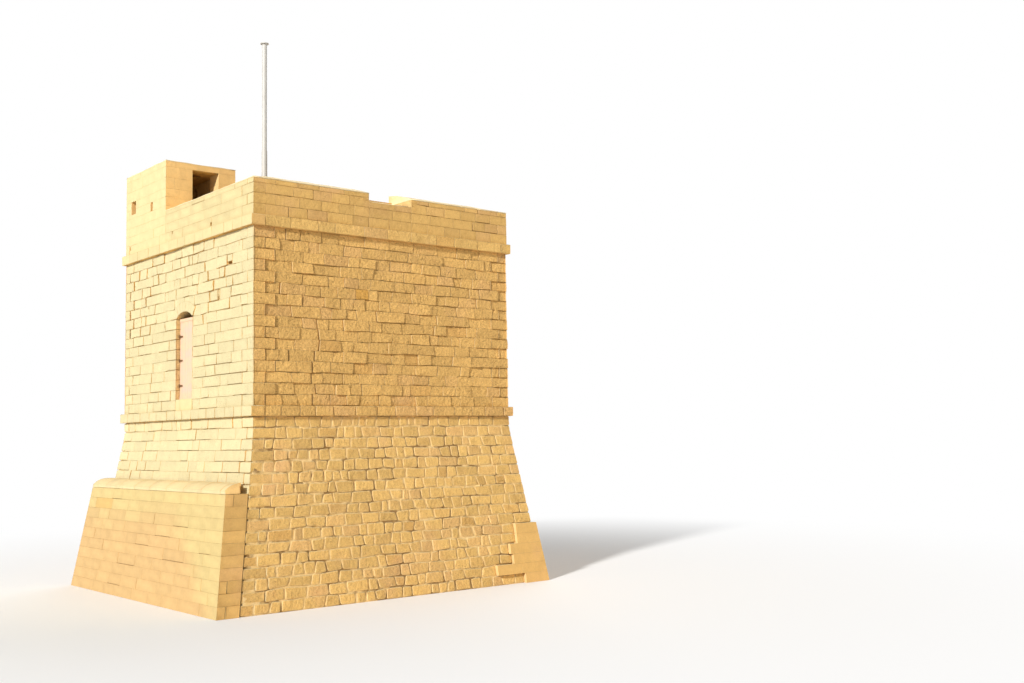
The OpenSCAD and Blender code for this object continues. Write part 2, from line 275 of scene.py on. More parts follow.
UpperCordonSettings = masonry_settings(
    "UpperCordonSettings", "the upper cordon", course=0.28, shortest=0.50, longest=0.95,
    joint=0.002, edge=0.008, corner=0.026, relief=0.032, sink=0.006, slant=0.004, bed=0.040,
    opened=0.05)


def colour(name, description, red, green, blue):
    """Colour setting, written as the screen shows it, from 0 to 255"""
    return FloatVectorProperty(
        name=name, description=description, subtype="COLOR_GAMMA", size=3, min=0, max=1,
        default=(red / 255, green / 255, blue / 255))


class FinishSettings(PropertyGroup):
    """Colours of the tower's materials"""
    scarp: colour("Foot", "Stone of the battered foot", 237, 191, 113)
    wall: colour("Walls", "Stone of the upper walls", 235, 186, 109)
    ashlar: colour("Parapets", "Stone of the parapets", 230, 184, 108)
    smooth: colour("Turret", "Smooth stone of the turret", 250, 204, 132)
    repair: colour("New stone", "Stone of the new quoins and the apron", 229, 182, 108)
    amber: colour("Amber stone", "Darker bands and stones", 206, 150, 80)
    golden: colour("Golden stone", "The darker golden stones", 212, 158, 70)
    rosy: colour("Rosy stone", "Pinkish stones", 236, 182, 132)
    # Painted sunlight: this colour and the next four are laid on faces turned to the front and
    # the sky, as paler, greyer stone where the lamp's light falls; the mortar takes this first
    # one too
    painted_sunlit: colour("Bleached stone", "Stone of the front, bleached by the sun", 214, 203, 160)
    straw: colour("Straw stone", "Stone of the parapets' front", 215, 200, 151)
    buff: colour("Buff stone", "Paler stone of the apron's front", 207, 186, 129)
    apricot: colour("Apricot stone", "Stone of the apron's front", 205, 171, 119)
    cream: colour("Cream stone", "Stone of the apron's coping", 219, 202, 156)
    # Used for dirt in pits and mortar, and along each stone's rim beside the joints, where it is
    # painted shade as well as dirt
    dirt_and_shade: colour("Dirt", "Dirt deep in the joints", 112, 74, 34)
    mortar: colour("Mortar", "Lime mortar in the joints", 252, 216, 152)
    capping: colour("Capping", "Lime capping on the parapets", 240, 220, 176)
    rubble: colour("Inner stone", "Rough stone inside", 176, 144, 98)
    door: colour("Door paint", "Faded paint of the door leaf", 215, 184, 163)
    bare_wood: colour("Bare wood", "Wood where the paint has worn off", 176, 134, 96)
    iron: colour("Iron", "Dark iron of the hinges", 104, 86, 62)
    rust: colour("Rust", "Rust on the iron", 150, 102, 58)
    white: colour("White paint", "Paint of the mast", 196, 192, 184)


def angle(name, description, degrees):
    """Setting of an angle, written in degrees"""
    return FloatProperty(
        name=name, description=description, default=math.radians(degrees), unit="ROTATION")


class StageSettings(PropertyGroup):
    """Camera and lamps"""
    camera: FloatVectorProperty(
        name="Camera", description="Place of the camera", subtype="TRANSLATION", unit="LENGTH",
        size=3, default=(29.902356, -17.449346, 4.066704))
    yaw: angle("Yaw", "Turn of the camera from +Y towards -X", 49.894)
    pitch: angle("Pitch", "Tilt of the camera upwards", 4.865)
    roll: angle("Roll", "Roll of the camera", -0.988)
    lens: FloatProperty(
        name="Lens", description="Focal length on a 36 mm wide sensor, in millimetres",
        default=40.31)
    sky: FloatProperty(name="Sky", description="Strength of the even light", default=0.31)
    key: FloatProperty(name="Key lamp", description="Strength of the key lamp", default=3.9)
    key_azimuth: angle("Key azimuth", "Turn of the key lamp from the front to the right", 22)
    key_height: angle("Key height", "Height of the key lamp above the horizon", 25)
    key_breadth: angle("Key breadth", "Breadth of the key lamp, as seen from the tower", 5)
    fill: FloatProperty(
        name="Fill lamp", description="Strength of the fill lamp behind", default=1.1)
    fill_azimuth: angle("Fill azimuth", "Turn of the fill lamp from the front to the right",
                        212)
    fill_height: angle("Fill height", "Height of the fill lamp above the horizon", 32)
    fill_breadth: angle("Fill breadth", "Breadth of the fill lamp, as seen from the tower", 60)


# Share of the blank's length taken by its rounded edge, and by the edge and the first cut
RIM = 0.08
SHOULDER = 0.20
FIRST_CUTS = (SHOULDER - 0.5, 0.5 - SHOULDER)

# Cuts through each blank along X, Y and Z. Those without a cut along Y show only their face.
BLANK_CUTS = {
    "face": (FIRST_CUTS + (-0.1, 0.1), (), FIRST_CUTS + (0.0,)),
    "worn": (FIRST_CUTS + (-0.2, -0.1, 0.0, 0.1, 0.2), (), FIRST_CUTS + (-0.15, 0.0, 0.15)),
    "corner": (FIRST_CUTS + (0.0,), FIRST_CUTS + (0.0,), FIRST_CUTS + (0.0,)),
    "coping": (FIRST_CUTS + (0.0,), (-0.42, -0.36, -0.28, -0.18, -0.06, 0.08, 0.24, 0.4),
               (0.0,)),
}
BLANKS = {}
MATERIALS = {}

Blank = namedtuple("Blank", "spots normals faces")
Stone = namedtuple("Stone", "face quad front back style sink relief hue shade bare")
Gap = namedtuple("Gap", "low high left_low left_high right_low right_high")


def hole(x, z, width, height):
    """Small hole in the front, as a gap"""
    left, right = x - width / 2, x + width / 2
    return Gap(z - height / 2, z + height / 2, left, left, right, right)


WALL_HOLES = (hole(2.170, 7.878, 0.09, 0.08), hole(2.796, 8.740, 0.30, 0.07))
PARAPET_HOLES = (hole(-0.732, 10.063, 0.08, 0.10), hole(1.721, 9.910, 0.08, 0.09))
TURRET_HOLES = (hole(-3.780, 10.001, 0.08, 0.10),)


class Face:
    """One face of masonry: u runs to the right, seen from outside, t goes in, z goes up"""

    def __init__(self, turns, distance, battered=False):
        self.turns = turns
        self.distance = distance
        self.battered = battered

    def stand_out(self, z):
        return BATTER * np.maximum(BEND_Z - z, 0) if self.battered else 0 * z

    def spread(self, z):
        """How much wider the face is at this height than the body"""
        return 1 + self.stand_out(np.float64(z)) / HALF

    def place(self, u, t, z):
        stand = self.stand_out(z)
        x = u * (1 + stand / HALF)
        y = t - self.distance - stand
        for _ in range(self.turns):
            x, y = -y, x
        return np.stack([x, y, z], -1)

    def depth(self, point):
        """How far a point lies behind this face"""
        x, y = point.x, point.y
        for _ in range(self.turns):
            x, y = y, -x
        return y + self.distance + float(self.stand_out(np.float64(point.z)))


class Paving(Face):
    """Level face of slabs: u and z are X and Y, and t goes down"""

    def __init__(self, height):
        super().__init__(FRONT, height)

    def place(self, u, t, z):
        return np.stack([u, z, self.distance - t], -1)

    def depth(self, point):
        return self.distance - point.z


def deselect():
    """Leaves edit mode and selects nothing"""
    if bpy.context.object and bpy.context.object.mode != "OBJECT":
        bpy.ops.object.mode_set(mode="OBJECT")
    bpy.ops.object.select_all(action="DESELECT")


def pick(obj):
    """Selects one object alone"""
    deselect()
    obj.select_set(True)
    bpy.context.view_layer.objects.active = obj


@contextmanager
def editing(obj):
    """Edit mode on one object, with its whole mesh selected"""
    pick(obj)
    bpy.ops.object.mode_set(mode="EDIT")
    bpy.ops.mesh.select_all(action="SELECT")
    yield
    bpy.ops.object.mode_set(mode="OBJECT")


def add_object(name, data):
    """Puts a mesh, lamp or camera into the scene"""
    obj = bpy.data.objects.new(name, data)
    bpy.context.scene.collection.objects.link(obj)
    return obj


def choose(obj, kind, test):
    """Selects the vertices, edges or faces of a mesh that pass a test on their corners"""
    mesh = obj.data
    for group in (mesh.vertices, mesh.edges, mesh.polygons):
        group.foreach_set("select", [False] * len(group))
    if kind == "VERT":
        for vertex in mesh.vertices:
            vertex.select = test([vertex.co])
    else:
        for item in mesh.edges if kind == "EDGE" else mesh.polygons:
            item.select = test([mesh.vertices[i].co for i in item.vertices])
    pick(obj)
    bpy.ops.object.mode_set(mode="EDIT")
    bpy.ops.mesh.select_mode(type=kind)


def bisect_all(axis, place):
    """Cuts the whole mesh in edit mode along one plane"""
    spot = [0, 0, 0]
    normal = [0, 0, 0]
    spot[axis] = place
    normal[axis] = 1
    bpy.ops.mesh.select_all(action="SELECT")
    bpy.ops.mesh.bisect(plane_co=spot, plane_no=normal)


def make_blank(cuts):
    """Models a rounded block of unit size with cuts along X, Y and Z, and reads it out

    Wear moves a vertex against its normal, and where only the face shows, straight in.
    """
    whole = bool(cuts[1])
    deselect()
    bpy.ops.mesh.primitive_cube_add(size=1)
    block = bpy.context.object
    choose(block, "EDGE", lambda points: whole or all(point.y < 0 for point in points))
    bpy.ops.mesh.bevel(offset=RIM, segments=2, affect="EDGES")
    for axis, places in enumerate(cuts):
        for place in places:
            bisect_all(axis, place)
    bpy.ops.object.mode_set(mode="OBJECT")
    if not whole:
        choose(block, "FACE", lambda points: all(point.y > 0.5 - TOUCH for point in points))
        bpy.ops.mesh.dissolve_faces()
        bpy.ops.object.mode_set(mode="OBJECT")
    mesh = block.data
    spots = np.array([vertex.co for vertex in mesh.vertices])
    normals = np.array([vertex.normal for vertex in mesh.vertices])
    faces = [tuple(polygon.vertices) for polygon in mesh.polygons]
    bpy.data.objects.remove(block)
    if not whole:
        normals = np.where(spots[:, 1:2] < 0, (0.0, -1.0, 0.0), 0.0)
    return Blank(spots, normals, faces)


def ripple(points, size, shift):
    """Smooth noise between 0 and 1 at each point"""
    move = Vector((shift, -shift, 2 * shift))
    values = [noise.fractal(Vector(p) / size + move, 1.0, 2.0, 3) for p in points.reshape(-1, 3)]
    return np.clip(0.5 + 0.95 * np.array(values), 0, 1).reshape(points.shape[:-1])


def stretch(ends, half, edge, shoulder):
    """Distance from a stone's end for each distance from the blank's end"""
    middle = shoulder + (ends - SHOULDER) / (0.5 - SHOULDER) * (half - shoulder)
    near = edge + (ends - RIM) / (SHOULDER - RIM) * (shoulder - edge)
    return np.where(ends < RIM, ends / RIM * edge, np.where(ends < SHOULDER, near, middle))


def column(stones, name):
    """One value of every stone or of its style, as a column"""
    read = attrgetter(name)
    return np.array([read(stone) for stone in stones])[:, None]


def round_outline(far, shoulder):
    """Pulls the square corners of each stone's outline onto a circle"""
    inside_u = np.clip(shoulder - far[..., 0], 0, None)
    inside_z = np.clip(shoulder - far[..., 2], 0, None)
    square = 2 * shoulder ** 2
    far[..., 0] += inside_u * (1 - np.sqrt(1 - inside_z ** 2 / square))
    far[..., 2] += inside_z * (1 - np.sqrt(1 - inside_u ** 2 / square))


def waver(stones, local, far, shoulder):
    """Makes each stone's outline waver inwards"""
    starts = np.array([(9.1 * stone.hue, *stone.quad[0]) for stone in stones])
    wander = ripple(local + starts[:, None], 0.13, 5.9)
    wander = 0.16 * column(stones, "style.corner") * wander
    for axis in (0, 2):
        near = np.clip(1 - far[..., axis] / (1.5 * shoulder), 0, 1)
        local[..., axis] -= np.sign(local[..., axis]) * wander * near


def wear(stones, point, across):
    """Depth of each stone's hollows and set back, which stay in front of the mortar"""
    relief = column(stones, "relief")
    sample = point + 7.3 * column(stones, "hue")[..., None]
    carved = relief * (0.55 * ripple(sample, 0.21, 3.1) + 0.45 * ripple(sample, 0.085, 8.7))
    lean = np.clip(column(stones, "shade"), 0, 1) - 0.5
    carved = carved + 0.5 * relief * (1 + np.sign(lean) * 2 * (across - 0.5)) * abs(lean)
    most = 0.85 * column(stones, "style.bed")
    return most * np.tanh((carved + column(stones, "sink")) / most)


def wear_normals(blank, stones, profile):
    """Ways in which wear moves each vertex: never across a joint"""
    normals = np.broadcast_to(blank.normals, (len(stones), *blank.normals.shape)).copy()
    if profile:
        return normals
    bare = np.array([stone.bare for stone in stones], float)
    normals[..., 0] *= np.where(normals[..., 0] < 0, bare[:, :1], bare[:, 1:])
    normals[..., 2] = 0
    length = np.linalg.norm(normals, axis=2, keepdims=True)
    return np.where(length > 0.1, normals / np.maximum(length, 0.1), 0)


def shape_stones(blank, stones, profile=None):
    """Shapes one copy of the blank for each stone: points of all, and their marks"""
    quads = np.array([stone.quad for stone in stones], float)
    front, back = column(stones, "front"), column(stones, "back")
    width = (quads[:, 1, 0] - quads[:, 0, 0] + quads[:, 2, 0] - quads[:, 3, 0]) / 2
    height = (quads[:, 3, 1] - quads[:, 0, 1] + quads[:, 2, 1] - quads[:, 1, 1]) / 2
    half = np.stack([width, (back - front)[:, 0], height], 1)[:, None, :] / 2
    least = half.min(2)
    edge = np.minimum(column(stones, "style.edge"), 0.3 * least)
    shoulder = np.maximum(np.minimum(column(stones, "style.corner"), 0.6 * least), edge * 1.2)
    far = stretch(0.5 - np.abs(blank.spots)[None], half, edge[..., None], shoulder[..., None])
    round_outline(far, shoulder)
    local = np.sign(blank.spots)[None] * (half - far)
    waver(stones, local, far, shoulder)

    # Places across each stone's four corners
    a = (local[..., 0] / (2 * half[..., 0]) + 0.5)[..., None]
    b = (local[..., 2] / (2 * half[..., 2]) + 0.5)[..., None]
    q = quads[:, None]
    flat = (1 - b) * ((1 - a) * q[:, :, 0] + a * q[:, :, 1])
    flat = flat + b * ((1 - a) * q[:, :, 3] + a * q[:, :, 2])
    deep = local[..., 1] + half[..., 1] + front
    if profile:
        rise = (flat[..., 1] - q[:, :, 0, 1]) / (2 * half[..., 2])
        flat[..., 1] = q[:, :, 0, 1] + rise * profile(deep)

    point = np.stack([flat[..., 0], deep, flat[..., 1]], -1)
    worn = wear(stones, point, a[..., 0])[..., None]
    point = point - wear_normals(blank, stones, profile) * worn

    world = np.empty_like(point)
    for i, stone in enumerate(stones):
        world[i] = stone.face.place(point[i, :, 0], point[i, :, 1], point[i, :, 2])
    marks = np.empty_like(point)
    marks[..., 0] = column(stones, "hue")
    marks[..., 1] = column(stones, "shade")
    # Closeness to the stone's rim, where the material paints shade with dirt beside the joints
    # and lays lime
    least_far = np.sort(far, 2)[..., :2].sum(2)
    marks[..., 2] = np.clip(1 - least_far / (2.5 * edge + 0.01), 0, 1)
    return world, marks


class Masonry:
    """Stones gathered for one piece, made into one mesh at the end"""

    def __init__(self, seed):
        self.rng = random.Random(seed)
        self.stones = {kind: [] for kind in BLANK_CUTS}

    def add(self, kind, face, quad, depth, style, front=0.0, sink=None, relief=1.0, hue=None,
            trims=None):
        """Adds a stone by its four corners on the face, less half a joint on each side

        Other trims may be given, for its left and right side, its bed and its top.
        """
        rng = self.rng
        left, right, below, above = trims or (style.joint / 2,) * 4
        (x0, z0), (x1, z1), (x2, z2), (x3, z3) = quad
        quad = ((x0 + left, z0 + below), (x1 - right, z1 + below),
                (x2 - right, z2 - above), (x3 + left, z3 - above))
        if sink is None:
            sink = style.sink * rng.random() ** 1.5
        hue = rng.random() if hue is None else hue
        self.stones[kind].append(Stone(
            face, quad, front, front + depth, style, sink,
            style.relief * relief * rng.uniform(0.5, 1.2), hue, rng.random(),
            (left == 0, right == 0)))

    def change(self, face, u, z, **changes):
        """Changes the stone at this place on a face"""
        for stones in self.stones.values():
            for i, stone in enumerate(stones):
                (left, bottom), _, (right, top), _ = stone.quad
                if stone.face is face and left < u < right and bottom < z < top:
                    stones[i] = stone._replace(**changes)

    def make(self, name, material, core=None, profile=None):
        """Makes the stones one object, and joins them to the mortar behind them"""
        points, faces, marks = [], [], []
        count = 0
        for kind, stones in self.stones.items():
            if not stones:
                continue
            blank = BLANKS[kind]
            world, mark = shape_stones(blank, stones, profile if kind == "coping" else None)
            points.append(world.reshape(-1, 3))
            marks.append(mark.reshape(-1, 3))
            for i in range(len(stones)):
                start = count + i * len(blank.spots)
                faces.extend(tuple(start + v for v in face) for face in blank.faces)
            count += len(stones) * len(blank.spots)
        mesh = bpy.data.meshes.new(name)
        mesh.from_pydata(np.concatenate(points).tolist(), [], faces)
        attribute = mesh.attributes.new("stone", "FLOAT_VECTOR", "POINT")
        attribute.data.foreach_set("vector", np.concatenate(marks).ravel())
        mesh.materials.append(MATERIALS[material])
        piece = add_object(name, mesh)
        if core:
            pick(piece)
            core.select_set(True)
            bpy.ops.object.join()
            piece.name = name
        pick(piece)
        bpy.ops.object.shade_smooth_by_angle(angle=SMOOTH_BELOW)
        return piece

    def build(self, node, material, slot, core=None, nodes=(), profile=None):
        """Makes the piece that stands for a CAD node, or for several"""
        piece = self.make(node + "_masonry", material, core, profile)
        finish_piece(piece, slot, *(nodes or (node,)))


def oblong(left, right, bottom, top):
    """Corners of an upright oblong on a face, from the lower left one round"""
    return ((left, bottom), (right, bottom), (right, top), (left, top))


def quoin(course, turn, bond=BODY_BOND):
    """Length of a corner stone along its first face (turn 0) or its second (turn 1)"""
    return bond.long if (course + turn) % 2 == 0 else bond.short


def split_course(rng, left, right, style, below):
    """Places along a course where one stone ends and the next begins"""
    places = [left]
    while right - places[-1] > style.longest * 1.05:
        step = style.shortest + (style.longest - style.shortest) * rng.random() ** 1.2
        place = places[-1] + step
        for joint in below:
            if abs(place - joint) < 0.07:
                place = joint + 0.09
        if right - place < style.shortest * 0.8:
            place = (places[-1] + right) / 2
        places.append(place)
    return places + [right]


def clear_spans(left, right, bottom, top, gaps):
    """Stretches of a course beside the gaps, as corners below and above, and open ends"""
    spans = [[(left, left, False), (right, right, False)]]
    for gap in gaps:
        if min(top, gap.high) - max(bottom, gap.low) < LEAST_CUT:
            continue
        cut = []
        for start, end in spans:
            if gap.right_low <= start[0] or gap.left_low >= end[0]:
                cut.append([start, end])
                continue
            if gap.left_low - start[0] > LEAST_STONE:
                cut.append([start, (gap.left_low, gap.left_high, True)])
            if end[0] - gap.right_low > LEAST_STONE:
                cut.append([(gap.right_low, gap.right_high, True), end])
        spans = cut
    return spans


def bed_line(levels, i, u, slant, rng):
    """Height of a bed joint at one place: it wanders up and down along the wall"""
    if i in (0, len(levels) - 1):
        return levels[i]
    wave = math.sin(3.1 * u + 2.3 * i) + 0.7 * math.sin(6.7 * u - 1.7 * i)
    return levels[i] + slant * (0.5 * wave + rng.uniform(-0.35, 0.35))


def washed_joint(rng, u, z, opened):
    """Extra width of a joint that the weather has opened: such joints lie in patches"""
    patch = 1 + math.sin(1.7 * u + 0.9 * z) * math.sin(0.8 * u - 1.9 * z)
    return WASHED * (rng.random() < opened * patch ** 2)


def leaning_joints(rng, places, slant, start, end):
    """Feet and tops of the upright joints between two open or plain ends"""
    lean = [rng.uniform(-slant, slant) for _ in places]
    feet = [place + move for place, move in zip(places, lean)]
    tops = [place - move for place, move in zip(places, lean)]
    feet[0], tops[0] = start[:2]
    feet[-1], tops[-1] = end[:2]
    return feet, tops


def lay_courses(stones, face, levels, left, right, style, gaps=(), hidden=(), jamb=JAMB_DEPTH,
                depth=FACE_DEPTH, kind="face", cracks=(), weathered=None, worst=()):
    """Lays courses of stones between two upright lines, around the gaps

    Each joint in the cracks, given as a course and a place, is wide and washed out. The worst
    courses are laid in the weathered style.
    """
    rng = stones.rng
    sound = style
    count = len(levels) - 1
    lefts = np.broadcast_to(left, count)
    rights = np.broadcast_to(right, count)
    below = []
    for i in range(count):
        if i in hidden:
            continue
        bottom, top = levels[i], levels[i + 1]
        made = []
        style = weathered if i in worst else sound
        joint = style.joint / 2
        for start, end in clear_spans(lefts[i], rights[i], bottom, top, gaps):
            wide = [u for course, u in cracks if course == i and start[0] < u < end[0]]
            places = []
            for part in zip([start[0], *wide], [*wide, end[0]]):
                places += split_course(rng, *part, style, below)[:-1]
            places.append(end[0])
            made += places[1:-1]
            feet, tops = leaning_joints(rng, places, style.slant, start, end)
            for j in range(len(places) - 1):
                open_left = start[2] and j == 0
                open_right = end[2] and j == len(places) - 2
                washed = [washed_joint(rng, places[j], bottom, style.opened) for _ in range(3)]
                for side in (0, 1):
                    if places[j + side] in wide:
                        washed[side] = CRACKED
                quad = [(u, bed_line(levels, i + above, u, style.slant, rng))
                        for u, above in ((feet[j], 0), (feet[j + 1], 0), (tops[j + 1], 1),
                                         (tops[j], 1))]
                trims = (0 if open_left else joint + washed[0],
                         0 if open_right else joint + washed[1], joint + washed[2], joint)
                if open_left or open_right:
                    stones.add("corner", face, quad, jamb, style, trims=trims)
                else:
                    stones.add(kind, face, quad, depth, style, trims=trims)
        for gap in gaps:
            fill_beside(stones, face, gap, bottom, top, style, depth)
        below = made


def fill_beside(stones, face, gap, bottom, top, style, depth):
    """Thin stones under and over a gap that takes only part of a course"""
    if min(top, gap.high) - max(bottom, gap.low) < LEAST_CUT:
        return
    for start, end in ((bottom, gap.low), (gap.high, top)):
        if end - start > LEAST_STONE:
            stones.add("corner", face, oblong(gap.left_low, gap.right_low, start, end),
                       depth * 2, style)


def lay_quoins(stones, face, levels, style, hidden=(), relief=0.9, bond=BODY_BOND,
               edge_at=HALF, depth=None):
    """Corner stones at the right end of a face, long and short by turns"""
    joint = style.joint / 2
    for i in range(len(levels) - 1):
        if i in hidden:
            continue
        spread = face.spread((levels[i] + levels[i + 1]) / 2)
        along = quoin(i, 0, bond) / spread
        quad = oblong(edge_at - along, edge_at, levels[i], levels[i + 1])
        stones.add("corner", face, quad, depth or quoin(i, 1, bond), style, relief=relief,
                   sink=style.sink * stones.rng.random(), trims=(joint, 0, joint, joint))


def quoin_ends(face, levels, turn, sign):
    """Where the ordinary stones of each course start or end beside the corner stones"""
    ends = []
    for i in range(len(levels) - 1):
        spread = face.spread((levels[i] + levels[i + 1]) / 2)
        ends.append(sign * (HALF - quoin(i, turn) / spread))
    return ends


def even_levels(bottom, top, course):
    """Course lines of equal courses, as close as they come to the usual height"""
    count = max(1, round((top - bottom) / course))
    return [bottom + (top - bottom) * i / count for i in range(count + 1)]


def copy_node(node, name):
    """Merged copy of a CAD node's mesh, without its triangles' inner edges"""
    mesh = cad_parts[node].data.copy()
    mesh.materials.clear()
    piece = add_object(name, mesh)
    with editing(piece):
        bpy.ops.mesh.remove_doubles(threshold=0.0002)
        bpy.ops.mesh.dissolve_limited(angle_limit=math.radians(0.5))
    return piece


def sunk_moves(mesh, faces, lip):
    """Move of each vertex that takes the polygons on these faces back to the mortar's depth"""
    normals = [[] for _ in mesh.vertices]
    depths = [[] for _ in mesh.vertices]
    for polygon in mesh.polygons:
        if lip is not None and polygon.center.z > lip - 0.0015:
            continue
        beds = [bed for face, bed in faces if abs(face.depth(polygon.center)) < 0.002]
        if beds:
            for index in polygon.vertices:
                if all(polygon.normal.dot(known) < 0.999 for known in normals[index]):
                    normals[index].append(polygon.normal.copy())
                    depths[index].append(-beds[0])
    moves = np.zeros((len(mesh.vertices), 3))
    for index, known in enumerate(normals):
        if known:
            rows = np.array([tuple(normal) for normal in known])
            moves[index] = np.linalg.pinv(rows, 0.1) @ np.array(depths[index])
    return moves


def cut_hole(core, lowest, highest):
    """Cuts a box-shaped hole into a mesh"""
    deselect()
    bpy.ops.mesh.primitive_cube_add(size=1, location=(Vector(lowest) + Vector(highest)) / 2)
    cutter = bpy.context.object
    cutter.scale = Vector(highest) - Vector(lowest)
    pick(core)
    cut = core.modifiers.new("hole", "BOOLEAN")
    cut.object = cutter
    cut.operation = "DIFFERENCE"
    cut.solver = "EXACT"
    bpy.ops.object.modifier_apply(modifier=cut.name)
    bpy.data.objects.remove(cutter)


def bedded(style, faces):
    """Faces with the depth of the mortar behind them"""
    return [(face, style.bed) for face in faces]


def mortar_core(node, materials, faces, lip=None, pitch=0.22, uneven=0.12, holes=()):
    """Body of a wall: the CAD node's shape, with its stone faces sunk to the mortar's depth

    Above the lip, and on its level tops, the second material covers it.
    """
    core = copy_node(node, node + "_core")
    for gap in holes:
        cut_hole(core, (gap.left_low, -HALF - 0.1, gap.low),
                 (gap.right_low, -HALF + 0.3, gap.high))
    lowest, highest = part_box(node)
    with editing(core):
        if lip is not None:
            bisect_all(2, lip - 0.002)
            bisect_all(2, lip)
        for axis in range(3):
            steps = int((highest[axis] - lowest[axis]) / pitch)
            for i in range(1, steps + 1):
                place = lowest[axis] + (highest[axis] - lowest[axis]) * i / (steps + 1)
                if axis < 2 or lip is None or place < lip - 0.01:
                    bisect_all(axis, place)
    mesh = core.data
    moves = sunk_moves(mesh, faces, lip)
    points = np.array([vertex.co for vertex in mesh.vertices])
    swell = 1 + 2 * uneven * (ripple(points, 0.45, 1.7) - 0.5)
    points += moves * swell[:, None]
    if lip is not None:
        above = points[:, 2] > lip + 0.001
        points[:, 2] -= above * 0.014 * ripple(points, 0.5, 4.2)
    points[:, 2] = np.clip(points[:, 2], lowest.z, highest.z)
    mesh.vertices.foreach_set("co", points.ravel())
    for material in materials:
        mesh.materials.append(MATERIALS[material])
    if len(materials) > 1:
        for polygon in mesh.polygons:
            covered = lip is not None and polygon.center.z > lip - 0.001
            if covered or (lip is None and polygon.normal.z > 0.7):
                polygon.material_index = 1
    mesh.update()
    return core


def finish_piece(piece, slot, *nodes):
    """Rides on the tower's one body, and stands for its CAD nodes"""
    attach(piece, "root")
    if nodes:
        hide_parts(*nodes)


def join(pieces, name):
    """Joins objects into the first one"""
    pick(pieces[0])
    for piece in pieces[1:]:
        piece.select_set(True)
    if len(pieces) > 1:
        bpy.ops.object.join()
    pieces[0].name = name
    return pieces[0]


def linear(channels):
    """Colour for a node, from the channels that the screen shows"""
    def convert(value):
        return value / 12.92 if value <= 0.04045 else ((value + 0.055) / 1.055) ** 2.4
    return tuple(convert(value) for value in channels) + (1.0,)


class Nodes:
    """Nodes of a material or a world, added one by one"""

    def __init__(self, tree):
        self.tree = tree

    def add(self, kind, values=None, **settings):
        node = self.tree.nodes.new(kind)
        for key, value in settings.items():
            setattr(node, key, value)
        for key, value in (values or {}).items():
            if isinstance(value, bpy.types.NodeSocket):
                self.tree.links.new(value, node.inputs[key])
            else:
                node.inputs[key].default_value = value
        return node

    def maths(self, operation, first, second=0.0):
        return self.add("ShaderNodeMath", {0: first, 1: second}, operation=operation).outputs[0]

    def plus(self, first, second):
        return self.maths("ADD", first, second)

    def times(self, first, second):
        return self.maths("MULTIPLY", first, second)

    def in_sight(self):
        """1 where the camera looks, straight or in a reflection or through glass, else 0"""
        ray = self.add("ShaderNodeLightPath").outputs
        sight = self.maths("MAXIMUM", ray["Is Camera Ray"], ray["Is Glossy Ray"])
        return self.maths("MAXIMUM", sight, ray["Is Transmission Ray"])

    def send_out(self, output, factor, first, second):
        """Sends a blend of two shaders to the output node"""
        blend = self.add("ShaderNodeMixShader", {
            0: factor, 1: first.outputs[0], 2: second.outputs[0]})
        self.tree.links.new(blend.outputs[0], self.tree.nodes[output].inputs["Surface"])


class Surface(Nodes):
    """Material made of layers of colour, one over the other"""

    def __init__(self, name, roughness, specular=0.25, metallic=0.0, base=(1, 1, 1)):
        self.material = bpy.data.materials.new(name)
        self.material.use_nodes = True
        super().__init__(self.material.node_tree)
        self.shader = self.tree.nodes["Principled BSDF"]
        self.shader.inputs["Roughness"].default_value = roughness
        self.shader.inputs["Specular IOR Level"].default_value = specular
        self.shader.inputs["Metallic"].default_value = metallic
        self.place = self.add("ShaderNodeTexCoord").outputs["Object"]
        self.colour = linear(base)

    def split(self, vector):
        return self.add("ShaderNodeSeparateXYZ", {"Vector": vector}).outputs

    def noise(self, scale, detail=4.0, roughness=0.6, place=None):
        return self.add("ShaderNodeTexNoise", {
            "Vector": place or self.place, "Scale": scale, "Detail": detail,
            "Roughness": roughness}).outputs["Fac"]

    def upright(self, squeeze):
        """Place with its height squeezed, so that noise runs in long upright streaks"""
        return self.add("ShaderNodeMapping", {
            "Vector": self.place, "Scale": (1.0, 1.0, squeeze)}).outputs["Vector"]

    def ramp(self, value, start, end, low=0.0, high=1.0):
        """Value spread from one range to another, and kept inside it"""
        return self.add("ShaderNodeMapRange", {
            "Value": value, "From Min": start, "From Max": end,
            "To Min": low, "To Max": high}, interpolation_type="SMOOTHSTEP").outputs["Result"]

    def mix(self, factor, first, second, blend="MIX"):
        return self.add("ShaderNodeMix", {0: factor, 6: first, 7: second},
                        data_type="RGBA", blend_type=blend).outputs[2]

    def cover(self, factor, colour, blend="MIX"):
        """Lays a colour of the settings, or of a node, over the layers so far"""
        if not isinstance(colour, bpy.types.NodeSocket):
            colour = linear(colour)
        self.colour = self.mix(factor, self.colour, colour, blend)

    def bump(self, height, strength, distance, base=None):
        values = {"Height": height, "Strength": strength, "Distance": distance}
        if base:
            values["Normal"] = base
        return self.add("ShaderNodeBump", values).outputs["Normal"]

    def finish(self, normal, roughness=None):
        links = self.tree.links
        links.new(self.colour, self.shader.inputs["Base Color"])
        links.new(normal, self.shader.inputs["Normal"])
        if roughness:
            links.new(roughness, self.shader.inputs["Roughness"])
        return self.material


